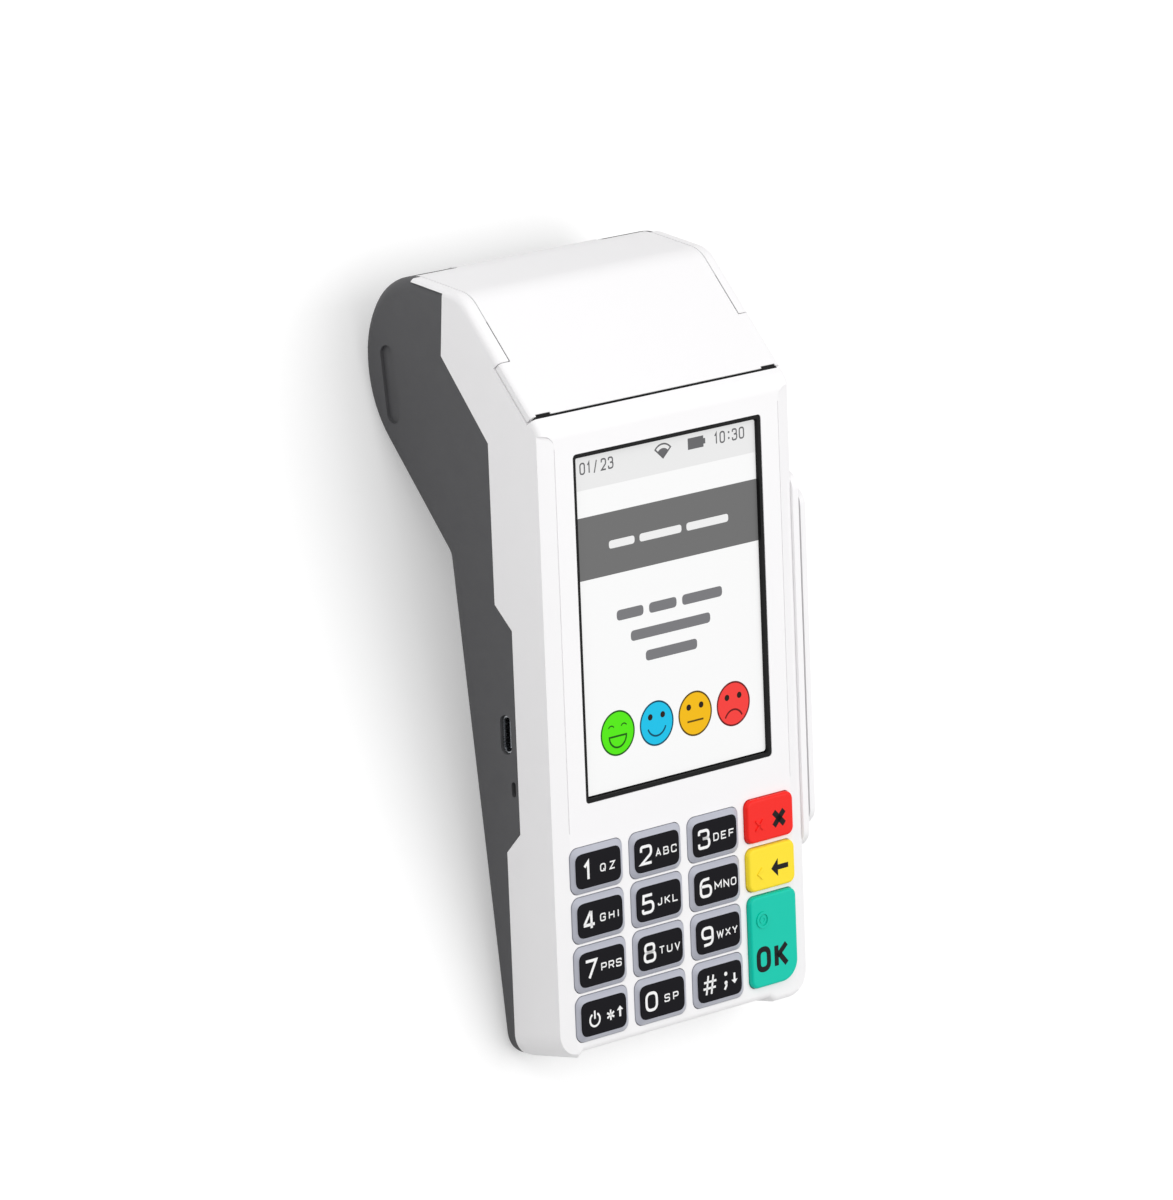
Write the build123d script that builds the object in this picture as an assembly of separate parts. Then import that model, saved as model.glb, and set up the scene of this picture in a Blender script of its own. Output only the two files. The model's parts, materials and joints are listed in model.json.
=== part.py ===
from build123d import *
import math
import os

# A handheld survey terminal with a touch screen, fifteen keys and a receipt printer in its upper back.
# It is modelled in its own case frame first: X across the front, Y up the front towards the printer,
# Z out of the front face, with the origin at the middle of the screen on the front face's plane.
# Every piece is then laid on its back on four rubber feet: +X to its right, +Y towards the printer,
# +Z up, with the origin under the middle of the case on the surface that it lies on. Millimetres.

# Paper roll, the size that the printer and the case's width follow
PAPER_WIDTH = 57.0

# Case, in the side view
END_Y = -101.4
END_LEAN = 8.0
SLOPE_START_Y = 48.0
SLOPE_ANGLE = 41.5
RIDGE_Y = 77.0
TOP_LEAN = 8.2
BULGE_DEPTH = 60.6
BULGE_CORNER_Y = 66.6
BULGE_CORNER_ANGLE = 35.0
BULGE_RAMP_ANGLE = 39.15
NECK_Y = 15.3
NECK_DEPTH = 33.9
REAR_ANGLE = 6.3
SLOPE_ROUND = 6.0
RIDGE_ROUND = 8.0
BULGE_TOP_ROUND = 15.6
BULGE_BACK_ROUND = 23.5
BULGE_RAMP_ROUND = 29.5
NECK_ROUND = 3.0
END_CORNER_ROUND = 6.5
END_REAR_ROUND = 8.0
FRONT_EDGE_ROUND = 1.5
REAR_EDGE_ROUND = 3.0
WALL = 2.0
END_WALL = 2.3
SHOULDER_WIDTH = 3.4
CASE_TO_PRINTER = 2.0

# Line where the front and rear housings part, in the side view
PARTING_LOW_Z = -17.0
PARTING_PORT_Z = -12.2
PARTING_HIGH_Z = -17.8
PARTING_STEPS_Y = (-53.5, -48.5, 0.0, 5.5, 43.5)
PARTING_SHOULDER = (62.3, -32.9)
PARTING_TOP_Z = -31.6
PARTING_GAP = 0.12
ROOF_THICKNESS = 0.8
ROOF_END_Z = -42.6

# Bevel along the front face's sides, and the groove on its inner edge
BEVEL_WIDTH = 4.35
BEVEL_ANGLE = 15.3
BEVEL_TOP_Y = 47.0
BEVEL_END_ROUND = 3.8
GROOVE_WIDTH = 0.3
GROOVE_DEPTH = 0.18
GROOVE_TOP_Y = 43.5
GROOVE_BOTTOM_Y = -47.5

# Screen
SCREEN_WIDTH = 60.0
SCREEN_HEIGHT = 82.6
SCREEN_CORNER = 1.0
SCREEN_DEPTH = 1.2
LENS_LAP = 1.5
LENS_THICKNESS = 1.0
LENS_CLEARANCE = 0.2
GASKET_WIDTH = 0.9
GASKET_BELOW_FACE = 0.15
PANEL_MARGIN = 0.5
PANEL_THICKNESS = 2.4
GASKET_CLEARANCE = 0.05
ANTENNA_THICKNESS = 0.8
ANTENNA_MARGIN = 2.0
ANTENNA_BAND = 7.0

# Keys
KEYS_FROM_LEFT = 4.1
KEYS_FROM_RIGHT = 4.8
KEY_GAP_X = 2.3
COLOUR_KEY_GAP_X = 2.1
KEY_PITCH_Y = 11.84
KEY_TOP_Y = -56.6
KEY_HEIGHT = 11.0
KEY_CORNER = 2.2
KEY_BEVEL = 1.2
KEY_RISE = 1.1
KEY_LIP_RISE = 0.15
KEY_TOP_ROUND = 0.25
COLOUR_KEY_WIDTH = 15.2
COLOUR_KEY_HEIGHT = 10.6
COLOUR_KEY_SHIFT_Y = 0.8
COLOUR_KEY_RISE = 1.3
COLOUR_KEY_CORNER = 2.0
COLOUR_KEY_TOP_ROUND = 0.7
OK_KEY_CORNER = 5.0
KEY_CLEARANCE = 0.15
KEY_TRAVEL = 0.6
KEY_FLANGE = 0.3
KEY_FLANGE_CORNER = 5.0
KEY_FLANGE_THICKNESS = 0.6
KEY_FLANGE_GAP = 0.1
KEY_STEM_WIDTH = 5.0
KEY_STEM_LENGTH = 0.5
DOME_GAP = 0.1
DOME_RADIUS = 2.4
DOME_HEIGHT = 0.25
MEMBRANE_THICKNESS = 0.8
MEMBRANE_RIM = 0.5
MEMBRANE_MARGIN = 0.4
BOARD_THICKNESS = 1.2
SNAP_LENGTH = 6.0
SNAP_HEIGHT = 1.3
SNAP_CLEARANCE = 0.05
SNAP_FROM_BOTTOM = 16.0
SNAP_FROM_TOP = 8.0

# Paper cover, on the slope
COVER_THICKNESS = 2.0
COVER_GAP = 0.25
COVER_SIDE_GAP = 0.3
SLIT_ALONG = 4.4
SLIT_WIDTH = 0.7
SLIT_NOTCH_LENGTH = 4.6
SLIT_NOTCH_DEPTH = 0.55
SLIT_NOTCH_FROM_EDGE = 1.5
HOOK_ALONG = 19.6
COVER_EDGE_MARGIN = 0.35
HINGE_Y = 77.3
HINGE_Z = -47.2
HINGE_BARREL_RADIUS = 1.8
HINGE_SEAM = 1.4
HINGE_TAB_WIDTH = 46.0
HINGE_NOSE_RADIUS = 3.05
HINGE_PIN_RADIUS = 0.8
HINGE_RUNNING = 0.04
HINGE_RELIEF = 0.3
HINGE_PIN_BITE = 2.2
TEAR_BAR_OVERHANG = 0.2
TEAR_BAR_WIDTH = 3.4
TEAR_BAR_THICKNESS = 0.5
TEAR_TOOTH = 1.45

# Printer
PLATEN_ALONG = 9.5
PLATEN_DEPTH = 8.0
PLATEN_RADIUS = 5.0
PLATEN_OVERHANG = 0.3
PLATEN_SHAFT_RADIUS = 1.5
ARM_THICKNESS = 1.6
ARM_GAP = 0.8
ARM_RADIUS = 3.7
BUSH_RADIUS = 2.6
BUSH_FLANGE = 0.3
SHAFT_RUNNING = 0.04
GEAR_MODULE = 0.5
PLATEN_TEETH = 20
IDLER_TEETH = 30
PINION_TEETH = 12
GEAR_WIDTH = 2.2
GEAR_BACKLASH = 0.14
IDLER_DIRECTION = 215.6
PINION_DIRECTION = 205.5
FRAME_THICKNESS = 1.2
FRAME_GAP = 0.6
GEAR_GAP = 0.5
SHAFT_BEYOND_GEAR = 0.3
AXLE_RADIUS = 1.0
MOTOR_RADIUS = 7.5
MOTOR_LENGTH = 17.8
MOTOR_SHAFT_RADIUS = 0.75
HEAD_DIRECTION = 198.0
PAPER_GAP = 0.15
HEAD_OVERHANG = 0.2
HEAD_BOARD_THICKNESS = 0.9
HEAD_BOARD_UP = 4.5
HEAD_BOARD_DOWN = 3.3
HEAD_SINK_THICKNESS = 2.4
HEAD_PIVOT_DEPTH = 2.1
HEAD_PIVOT_DOWN = 5.0
HEAD_BARREL_RADIUS = 1.7
HEAD_PIN_RADIUS = 0.8
HEAD_SPRING_X = 18.0
HEAD_SPRING_RADIUS = 1.7
HEAD_SPRING_WALL = 0.4
HEAD_SPRING_LENGTH = 4.4
SPRING_PLATE_UP = 4.0
SPRING_PLATE_DOWN = 3.0
FRAME_TAB_Y = 31.0
FRAME_TAB_Z = -31.0
FRAME_TAB_LENGTH = 7.0
FRAME_TAB_REACH = 4.6
FRAME_POST_RADIUS = 2.2
FRAME_OVER_PINION = 6.0
FRAME_BEHIND_PINION = 3.0
FRAME_OVER_HEAD = 3.6
FRAME_OVER_PLATEN = 2.6
FRAME_BEYOND_HEAD = 0.5
FRAME_BEYOND_PLATEN = 2.4
FRAME_SEAT_LIP = 0.5
FRAME_BEYOND_PIVOT = 2.2
FRAME_UNDER_PIVOT = 3.0
SHAFT_SEAT_CLEARANCE = 0.25
SHAFT_WAY_FLARE = 1.5
SHAFT_WAY_LENGTH = 12.0
PRINTER_SCREW_LENGTH = 6.0

# Paper bay and roll
BAY_Y = 56.8
BAY_Z = -38.0
BAY_RADIUS = 19.2
BAY_WALL = 1.1
BAY_SIDE_GAP = 1.5
BAY_FRONT_ANGLE = 124.0
BAY_BACK_ANGLE = 334.0
BAY_RIB_X = 15.0
BAY_RIB_THICKNESS = 1.6
BAY_RIB_LENGTH = 16.0
BAY_RIB_HEIGHT = 4.0
ROLL_RADIUS = 18.0
ROLL_SEAT_GAP = 0.3
CORE_RADIUS = 7.5
CORE_WALL = 1.5

# Main board, USB socket, side slot
MAIN_BOARD_Z = -13.0
MAIN_BOARD_TOP_Y = 16.5
MAIN_BOARD_BOTTOM_Y = -43.0
MAIN_BOARD_SIDE_GAP = 2.0
BOARD_POST_RADIUS = 1.8
BOARD_POST_FROM_WALL = 4.2
BOARD_POSTS_Y = (-38.5, 12.0)
SMALL_SCREW_RADIUS = 0.8
SMALL_HEAD_RADIUS = 1.5
SMALL_HEAD_HEIGHT = 0.9
USB_Y = -25.2
USB_WIDTH = 8.9
USB_HEIGHT = 3.2
USB_DEPTH = 7.3
USB_SET_BACK = 0.7
USB_SHELL = 0.35
USB_TONGUE_THICKNESS = 0.7
PORT_CLEARANCE = 0.25
SIDE_SLOT_Y = -38.0
SIDE_SLOT_Z = -13.8
SIDE_SLOT_LENGTH = 3.6
SIDE_SLOT_HEIGHT = 1.4
COIN_CELL_X = 18.0
COIN_CELL_Y = -30.0
COIN_CELL_RADIUS = 6.0
COIN_CELL_HEIGHT = 3.0
# Shield cans and chips: middle X, middle Y, width, length, height
BOARD_PARTS = (
    (-14.0, 2.0, 20.0, 20.0, 2.4),
    (11.0, 2.0, 18.0, 16.0, 2.0),
    (-16.0, -25.0, 12.0, 14.0, 1.4),
    (1.0, -25.0, 10.0, 10.0, 1.2),
)

# Card reader and swipe reader
CARD_X = -3.5
CARD_SLOT_Z = -12.4
CARD_SLOT_WIDTH = 55.4
CARD_SLOT_HEIGHT = 1.4
CARD_MOUTH_WIDTH = 60.0
CARD_MOUTH_DEPTH = 1.4
CARD_MOUTH_SLANT = 1.9
READER_WIDTH = 60.0
READER_TOP_Z = -9.6
READER_BOTTOM_Z = -15.2
READER_TOP_Y = -52.5
READER_GAP = 0.15
READER_POST = 4.0
READER_POSTS_X = 24.0
READER_POSTS_Y = (-93.0, -58.0)
SWIPE_TOP_Y = 25.5
SWIPE_BOTTOM_Y = -66.0
SWIPE_LIP = 1.8
SWIPE_LIP_TOP_Z = -0.4
SWIPE_SLOT = 1.7
SWIPE_WALL = 2.0
SWIPE_TOP_Z = -1.6
SWIPE_FLOOR_Z = -17.9
SWIPE_FLOOR_THICKNESS = 2.6
SWIPE_LEAD_IN = 7.0
SWIPE_LIP_LEAD_IN = 2.5
SWIPE_EDGE_ROUND = 0.7
SWIPE_STAKE_RADIUS = 1.2
SWIPE_STAKES_Y = (-58.0, -22.0, 16.0)
STAKE_CLEARANCE = 0.05
MAG_HEAD_Y = -20.0
MAG_HEAD_Z = -8.2
MAG_HEAD_LENGTH = 8.0
MAG_HEAD_HEIGHT = 6.0
MAG_HEAD_DEPTH = 5.0
MAG_HEAD_PROUD = 0.5
MAG_HEAD_NOSE = 0.9
MAG_HEAD_CLEARANCE = 0.2
MAG_SPRING_THICKNESS = 0.3
MAG_SPRING_LENGTH = 24.0
MAG_SPRING_WIDTH = 5.0
MAG_POST = 2.0

# Battery, its cover and latch, in the frame of the rear face
BATTERY_COVER_TOP = 12.8
BATTERY_COVER_BOTTOM = -42.8
BATTERY_COVER_FROM_SIDE = 9.4
BATTERY_COVER_GAP = 0.2
BATTERY_FROM_SIDE = 9.6
BATTERY_BOTTOM = -38.8
BATTERY_LENGTH = 38.0
BATTERY_THICKNESS = 10.4
BATTERY_SEAT_GAP = 0.1
BATTERY_TAB_WIDTH = 8.0
BATTERY_TAB_X = 20.0
BATTERY_TAB_REACH = 2.0
BATTERY_TAB_THICKNESS = 1.1
BATTERY_TAB_GAP = 0.35
BATTERY_RIB = 1.2
BATTERY_RIB_HEIGHT = 10.0
CONTACT_WIDTH = 16.0
CONTACT_LENGTH = 3.4
CONTACT_DROP = 8.0
CONTACT_GAP = 1.6
LATCH_WIDTH = 14.0
LATCH_LENGTH = 9.0
LATCH_THICKNESS = 1.6
LATCH_NOSE = 1.5
LATCH_GAP = 0.15
LATCH_TRAVEL = 1.8
LATCH_PAD_WIDTH = 10.0
LATCH_PAD_LENGTH = 4.0
LATCH_GUIDE = 1.4
LATCH_SPRING_RADIUS = 0.7
LATCH_SPRING_WALL = 0.25
LATCH_SPRING_LENGTH = 3.4

# Speaker
SPEAKER_X = 14.0
SPEAKER_Y = -72.0
SPEAKER_RADIUS = 7.5
SPEAKER_THICKNESS = 3.2
SPEAKER_HOLE_RADIUS = 0.7
SPEAKER_HOLE_PITCH = 2.6

# Case screws
# Distance from the case's side, Y, and the Z at which the housings part
SCREW_PLACES = ((5.4, 20.0, -17.8), (6.0, -46.8, -12.1))
FRONT_BOSS_RADIUS = 2.6
REAR_BOSS_RADIUS = 3.2
SCREW_RADIUS = 1.1
SCREW_CLEARANCE = 0.05
SCREW_HEAD_RADIUS = 1.9
SCREW_HEAD_HEIGHT = 1.8
SCREW_HEAD_CLEARANCE = 0.2
SCREW_SEAT = 6.0
SCREW_BITE = 8.0

# Grip recess on each side of the bulge
GRIP_Y = 53.5
GRIP_Z = -51.3
GRIP_LENGTH = 18.5
GRIP_WIDTH = 4.4
GRIP_DEPTH = 0.9
GRIP_TILT = -6.0

# Radio antenna on the left wall
RADIO_LENGTH = 18.0
RADIO_WIDTH = 10.0
RADIO_THICKNESS = 0.8
RADIO_Y = 34.0
RADIO_Z = -9.0

# Feet, in the frame of the surface that the terminal lies on
FOOT_RADIUS = 3.5
FOOT_FROM_SIDE = 12.0
FOOT_Y_FROM_END = 9.0
BULGE_FOOT_Y = 52.0
FOOT_HEIGHT = 0.8
BULGE_FOOT_SEAT = 1.0
END_FOOT_SEAT = 1.5

os.makedirs("parts", exist_ok=True)

BIG = 200.0

# Stack from the middle of the paper out to the case's side
platen_half = PAPER_WIDTH / 2 + PLATEN_OVERHANG
arm_inner = platen_half + ARM_GAP
arm_outer = arm_inner + ARM_THICKNESS
frame_inner = arm_outer + FRAME_GAP
frame_outer = frame_inner + FRAME_THICKNESS
gear_inner = frame_outer + GEAR_GAP
gear_outer = gear_inner + GEAR_WIDTH
shaft_end = gear_outer + SHAFT_BEYOND_GEAR
HALF = shaft_end + CASE_TO_PRINTER + WALL
CASE_WIDTH = 2 * HALF

# Key columns, from the case's sides inwards
KEY_WIDTH = (CASE_WIDTH - KEYS_FROM_LEFT - KEYS_FROM_RIGHT - 2 * KEY_GAP_X - COLOUR_KEY_GAP_X
             - COLOUR_KEY_WIDTH) / 3
KEY_PITCH_X = KEY_WIDTH + KEY_GAP_X
KEY_LEFT_X = KEYS_FROM_LEFT + KEY_WIDTH / 2 - HALF
COLOUR_KEY_X = HALF - KEYS_FROM_RIGHT - COLOUR_KEY_WIDTH / 2
BEVEL_X = HALF - BEVEL_WIDTH


def sine(angle):
    return math.sin(math.radians(angle))


def cosine(angle):
    return math.cos(math.radians(angle))


def tangent(angle):
    return math.tan(math.radians(angle))


def meet(p, a, q, b):
    """Point where the line through p at angle a meets the line through q at angle b."""
    px, py = p
    qx, qy = q
    cross = cosine(a) * sine(b) - sine(a) * cosine(b)
    along = ((qx - px) * sine(b) - (qy - py) * cosine(b)) / cross
    return (px + along * cosine(a), py + along * sine(a))


def step(p, angle, distance):
    """Point at a distance from p in the direction of the angle."""
    return (p[0] + distance * cosine(angle), p[1] + distance * sine(angle))


def rounded_face(corners):
    """Closed face through (point, radius) corners, each rounded as far as its sides allow."""
    points = [Vector(*point) for point, _ in corners]
    count = len(points)
    reach = []
    for i, (_, radius) in enumerate(corners):
        back = (points[i - 1] - points[i]).normalized()
        ahead = (points[(i + 1) % count] - points[i]).normalized()
        half = math.radians(back.get_angle(ahead)) / 2
        reach.append(radius / math.tan(half))
    allowed = []
    for i in range(count):
        before = (points[i] - points[i - 1]).length / max(reach[i] + reach[i - 1], 1e-9)
        after = (points[(i + 1) % count] - points[i]).length / max(reach[i] + reach[(i + 1) % count], 1e-9)
        allowed.append(reach[i] * min(1, 0.995 * before, 0.995 * after))
    edges = []
    last = None
    first = None
    for i in range(count):
        back = (points[i - 1] - points[i]).normalized()
        ahead = (points[(i + 1) % count] - points[i]).normalized()
        start = points[i] + back * allowed[i]
        end = points[i] + ahead * allowed[i]
        if last is None:
            first = start
        else:
            edges.append(Edge.make_line(last, start))
        if allowed[i] > 1e-6:
            half = math.radians(back.get_angle(ahead)) / 2
            to_centre = (back + ahead).normalized()
            radius = allowed[i] * math.tan(half)
            centre = points[i] + to_centre * (allowed[i] / math.cos(half))
            edges.append(Edge.make_three_point_arc(start, centre - to_centre * radius, end))
        last = end
    edges.append(Edge.make_line(last, first))
    return Face(Wire(edges))


def polygon(points):
    return make_face(Polyline(*points, close=True))


def across(face, x0, x1):
    """Solid of a side-view face (Y and Z as its own X and Y) from x0 to x1."""
    return extrude(Plane.YZ.offset(x0) * face, amount=x1 - x0, dir=(1, 0, 0))


def rod(y, z, radius, x0, x1):
    """Cylinder along X."""
    return across(Pos(y, z) * Circle(radius), x0, x1)


def block(x0, x1, y0, y1, z0, z1):
    return Pos((x0 + x1) / 2, (y0 + y1) / 2, (z0 + z1) / 2) * Box(abs(x1 - x0), abs(y1 - y0), abs(z1 - z0))


def column(x, y, radius, z0, z1):
    """Cylinder along Z."""
    return Pos(x, y, (z0 + z1) / 2) * Cylinder(radius, abs(z1 - z0))


def plate(x, y, width, height, corner, z0, z1):
    """Upright-cornered plate, rounded in plan."""
    sketch = Pos(x, y, z0) * RectangleRounded(width, height, corner)
    return extrude(sketch, amount=z1 - z0, dir=(0, 0, 1))


def both_sides(make):
    """A feature on the right and its mirror image on the left."""
    right = make()
    return right + mirror(right, Plane.YZ)


def slope_point(along, out):
    """Point in the side view, along the slope from its start and out of its face."""
    y = SLOPE_START_Y + along * cosine(SLOPE_ANGLE) + out * sine(SLOPE_ANGLE)
    z = -along * sine(SLOPE_ANGLE) + out * cosine(SLOPE_ANGLE)
    return (y, z)


# Case outline in the side view
RIDGE = meet((SLOPE_START_Y, 0), -SLOPE_ANGLE, (RIDGE_Y, 0), 90)
BULGE_CORNER = (BULGE_CORNER_Y, -BULGE_DEPTH)
TOP_BACK = meet(RIDGE, TOP_LEAN - 90, BULGE_CORNER, BULGE_CORNER_ANGLE)
NECK = (NECK_Y, -NECK_DEPTH)
RAMP_END = meet(NECK, -BULGE_RAMP_ANGLE, BULGE_CORNER, 0)
REAR_END = meet(NECK, -REAR_ANGLE, (END_Y, 0), 90 - END_LEAN)


def outline(end_round):
    return rounded_face([
        ((END_Y, 0), 0),
        ((SLOPE_START_Y, 0), SLOPE_ROUND),
        (RIDGE, RIDGE_ROUND),
        (TOP_BACK, BULGE_TOP_ROUND),
        (BULGE_CORNER, BULGE_BACK_ROUND),
        (RAMP_END, BULGE_RAMP_ROUND),
        (NECK, NECK_ROUND),
        (REAR_END, end_round),
    ])


sharp_outline = outline(0)
outline_face = outline(END_REAR_ROUND)
REAR_ORIGIN_Z = NECK[1] + NECK_Y * tangent(REAR_ANGLE)
REAR = Location((0, 0, REAR_ORIGIN_Z), (-REAR_ANGLE, 0, 0))


def leaning(face, depth):
    """Solid of a front-view face, carried back along the leaning end for a depth."""
    return extrude(face, amount=depth / cosine(END_LEAN), dir=(0, -sine(END_LEAN), -cosine(END_LEAN)))


def end_at(z):
    """Y of the end's outer face at a height."""
    return END_Y + z * tangent(END_LEAN)


def plan_solid(inset, end_inset):
    """Case in the front view, with its two lower corners rounded."""
    corner = END_CORNER_ROUND - inset
    half = HALF - inset
    low = END_Y + end_inset
    corners = [((-half, BIG), 0), ((-half, low), corner), ((half, low), corner), ((half, BIG), 0)]
    return leaning(rounded_face(corners), BIG / 2)


# Card mouth: a shallow step in the end's front housing, with slanted ends
mouth_half = CARD_MOUTH_WIDTH / 2
mouth_slope = CARD_MOUTH_SLANT / CARD_MOUTH_DEPTH
mouth_plan = polygon([
    (CARD_X - mouth_half, END_Y + CARD_MOUTH_DEPTH),
    (CARD_X + mouth_half, END_Y + CARD_MOUTH_DEPTH),
    (CARD_X + mouth_half + mouth_slope * (CARD_MOUTH_DEPTH + 1), END_Y - 1),
    (CARD_X - mouth_half - mouth_slope * (CARD_MOUTH_DEPTH + 1), END_Y - 1),
])
mouth_cut = leaning(mouth_plan, -PARTING_LOW_Z)


def case_solid(edge_round, cutter=None):
    """Outer form of the case with all its long edges rounded; a cutter is taken off first."""
    body = across(sharp_outline, -HALF, HALF) & plan_solid(0, 0)
    if cutter is not None:
        body -= cutter
    front_edges = [
        edge for edge in body.edges()
        if abs(edge.bounding_box().min.Z) < 0.01 and abs(edge.center().Z) < 0.01
        and edge.center().Y < SLOPE_START_Y - 10
    ]
    return fillet(front_edges, edge_round) & across(outline_face, -BIG, BIG)


inner_face = offset(outline_face, -WALL)
cavity = across(inner_face, WALL - HALF, HALF - WALL) & plan_solid(WALL, END_WALL)

# Parting line
STEP_A, STEP_B, STEP_C, STEP_D, STEP_E = PARTING_STEPS_Y
roof_inner = meet(RIDGE, TOP_LEAN - 90, (0, PARTING_TOP_Z), 0)
roof_outer = meet(RIDGE, TOP_LEAN - 90, (0, ROOF_END_Z), 0)
front_region_points = [
    (-BIG, PARTING_LOW_Z),
    (STEP_A, PARTING_LOW_Z),
    (STEP_B, PARTING_PORT_Z),
    (STEP_C, PARTING_PORT_Z),
    (STEP_D, PARTING_HIGH_Z),
    (STEP_E, PARTING_HIGH_Z),
    PARTING_SHOULDER,
    (roof_inner[0] - ROOF_THICKNESS, roof_inner[1]),
    (roof_outer[0] - ROOF_THICKNESS, ROOF_END_Z),
    (BIG, ROOF_END_Z),
    (BIG, BIG),
    (-BIG, BIG),
]
front_region = polygon(front_region_points)
front_space = across(front_region, -BIG, BIG)
rear_cutter = across(offset(front_region, PARTING_GAP, kind=Kind.INTERSECTION), -BIG, BIG)

# Paper cover
COVER_HALF = HALF - SHOULDER_WIDTH - COVER_SIDE_GAP
BAY_CENTRE = (BAY_Y, BAY_Z)
HINGE = (HINGE_Y, HINGE_Z)
HINGE_EDGE = 0.4


def cover_sector(start_along, rear_z):
    """Side-view wedge from the bay's middle out past the cover, from the slit to the hinge."""
    return polygon([
        slope_point(start_along, BIG),
        slope_point(start_along, -BAY_WALL * 8),
        BAY_CENTRE,
        (HINGE_Y - HINGE_SEAM, rear_z),
        (BIG * 2, rear_z),
    ])


def cover_outside(depth):
    """Side-view region outside the case's outline moved in by a depth."""
    return Rectangle(BIG * 3, BIG * 3) - offset(outline_face, -depth)


def beyond(along):
    """Side-view region up the slope from a distance along it."""
    return polygon([slope_point(along, BIG), slope_point(along, -BIG), (BIG * 2, -BIG * 2), (BIG * 2, BIG)])


cover_band = cover_outside(COVER_THICKNESS) & cover_sector(SLIT_ALONG, HINGE_Z + HINGE_EDGE)
front_case = case_solid(FRONT_EDGE_ROUND, mouth_cut)
rear_case = case_solid(REAR_EDGE_ROUND)
nose = Pos(*HINGE) * Circle(HINGE_NOSE_RADIUS)
round_nose = Pos(*HINGE) * Circle(HINGE_NOSE_RADIUS + COVER_GAP)
tab_half = HINGE_TAB_WIDTH / 2
cover_half = HALF - COVER_EDGE_MARGIN
paper_cover = across(cover_band - round_nose, -cover_half, cover_half) & front_case
upper_side = across(beyond(HOOK_ALONG), COVER_HALF, BIG)
paper_cover -= upper_side
paper_cover -= mirror(upper_side, Plane.YZ)
notch_outer = cover_half - SLIT_NOTCH_FROM_EDGE
notch_high = SLIT_ALONG + SLIT_NOTCH_DEPTH
notch_face = polygon([
    slope_point(SLIT_ALONG - 1, 1),
    slope_point(notch_high, 1),
    slope_point(notch_high, -COVER_THICKNESS - 1),
    slope_point(SLIT_ALONG - 1, -COVER_THICKNESS - 1),
])
slit_notch = across(notch_face, notch_outer - SLIT_NOTCH_LENGTH, notch_outer)
paper_cover -= slit_notch + mirror(slit_notch, Plane.YZ)
paper_cover += across(cover_band, -tab_half, tab_half) & front_case
paper_cover += rod(*HINGE, HINGE_BARREL_RADIUS, -tab_half, tab_half)
paper_cover -= rod(*HINGE, HINGE_PIN_RADIUS + HINGE_RUNNING, -BIG, BIG)

cut_band = cover_outside(COVER_THICKNESS + COVER_GAP)
cut_band = cut_band & cover_sector(SLIT_ALONG - SLIT_WIDTH, HINGE_Z + HINGE_EDGE - COVER_GAP)
SHOULDER_HALF = HALF - SHOULDER_WIDTH
cover_cut = across(cut_band - nose, -BIG, BIG)
shoulder_keep = across(beyond(HOOK_ALONG + COVER_GAP), SHOULDER_HALF, BIG)
cover_cut -= shoulder_keep
cover_cut -= mirror(shoulder_keep, Plane.YZ)
relief_radius = HINGE_BARREL_RADIUS + HINGE_RELIEF
relief_half = tab_half + COVER_SIDE_GAP
cover_cut += across(cut_band, -relief_half, relief_half)
cover_cut += rod(*HINGE, relief_radius, -relief_half, relief_half)

# Platen in its two arms, carried by the cover
PLATEN = slope_point(PLATEN_ALONG, -PLATEN_DEPTH)


def arm():
    foot_near = slope_point(PLATEN_ALONG - ARM_RADIUS, -COVER_THICKNESS / 2)
    foot_far = slope_point(PLATEN_ALONG + 2 * ARM_RADIUS, -COVER_THICKNESS / 2)
    side_near = slope_point(PLATEN_ALONG - ARM_RADIUS, -PLATEN_DEPTH)
    side_far = slope_point(PLATEN_ALONG + ARM_RADIUS, -PLATEN_DEPTH)
    web = across(polygon([foot_near, foot_far, side_far, side_near]), arm_inner, arm_outer)
    return web + rod(*PLATEN, ARM_RADIUS, arm_inner, arm_outer)


paper_cover += both_sides(arm)
paper_cover -= rod(*PLATEN, BUSH_RADIUS, -arm_outer - 1, arm_outer + 1)


def bushing():
    sleeve = rod(*PLATEN, BUSH_RADIUS, arm_inner, arm_outer)
    flange = rod(*PLATEN, BUSH_RADIUS + BUSH_FLANGE, arm_outer, arm_outer + BUSH_FLANGE)
    return sleeve + flange - rod(*PLATEN, PLATEN_SHAFT_RADIUS + SHAFT_RUNNING, 0, BIG)


platen_bushings = both_sides(bushing)

platen_shaft = rod(*PLATEN, PLATEN_SHAFT_RADIUS, -frame_outer - 0.2, shaft_end)
platen_rubber = rod(*PLATEN, PLATEN_RADIUS, -platen_half, platen_half)
platen_rubber -= rod(*PLATEN, PLATEN_SHAFT_RADIUS, -BIG, BIG)


def gear(centre, teeth, bore, phase):
    """Spur gear with straight-sided teeth; phase is the angle of a tooth's middle."""
    pitch = GEAR_MODULE * teeth / 2
    top = pitch + 0.85 * GEAR_MODULE
    root = pitch - 1.15 * GEAR_MODULE
    width = math.pi * GEAR_MODULE / 2 - GEAR_BACKLASH
    top_half = math.degrees((width / 2 - (top - pitch) * tangent(20)) / top)
    root_half = math.degrees((width / 2 + (pitch - root) * tangent(20)) / root)
    points = []
    for tooth in range(teeth):
        middle = phase + 360 * tooth / teeth
        points.append(step(centre, middle - root_half, root))
        points.append(step(centre, middle - top_half, top))
        points.append(step(centre, middle + top_half, top))
        points.append(step(centre, middle + root_half, root))
    return across(polygon(points) - Pos(*centre) * Circle(bore), gear_inner, gear_outer)


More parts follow.
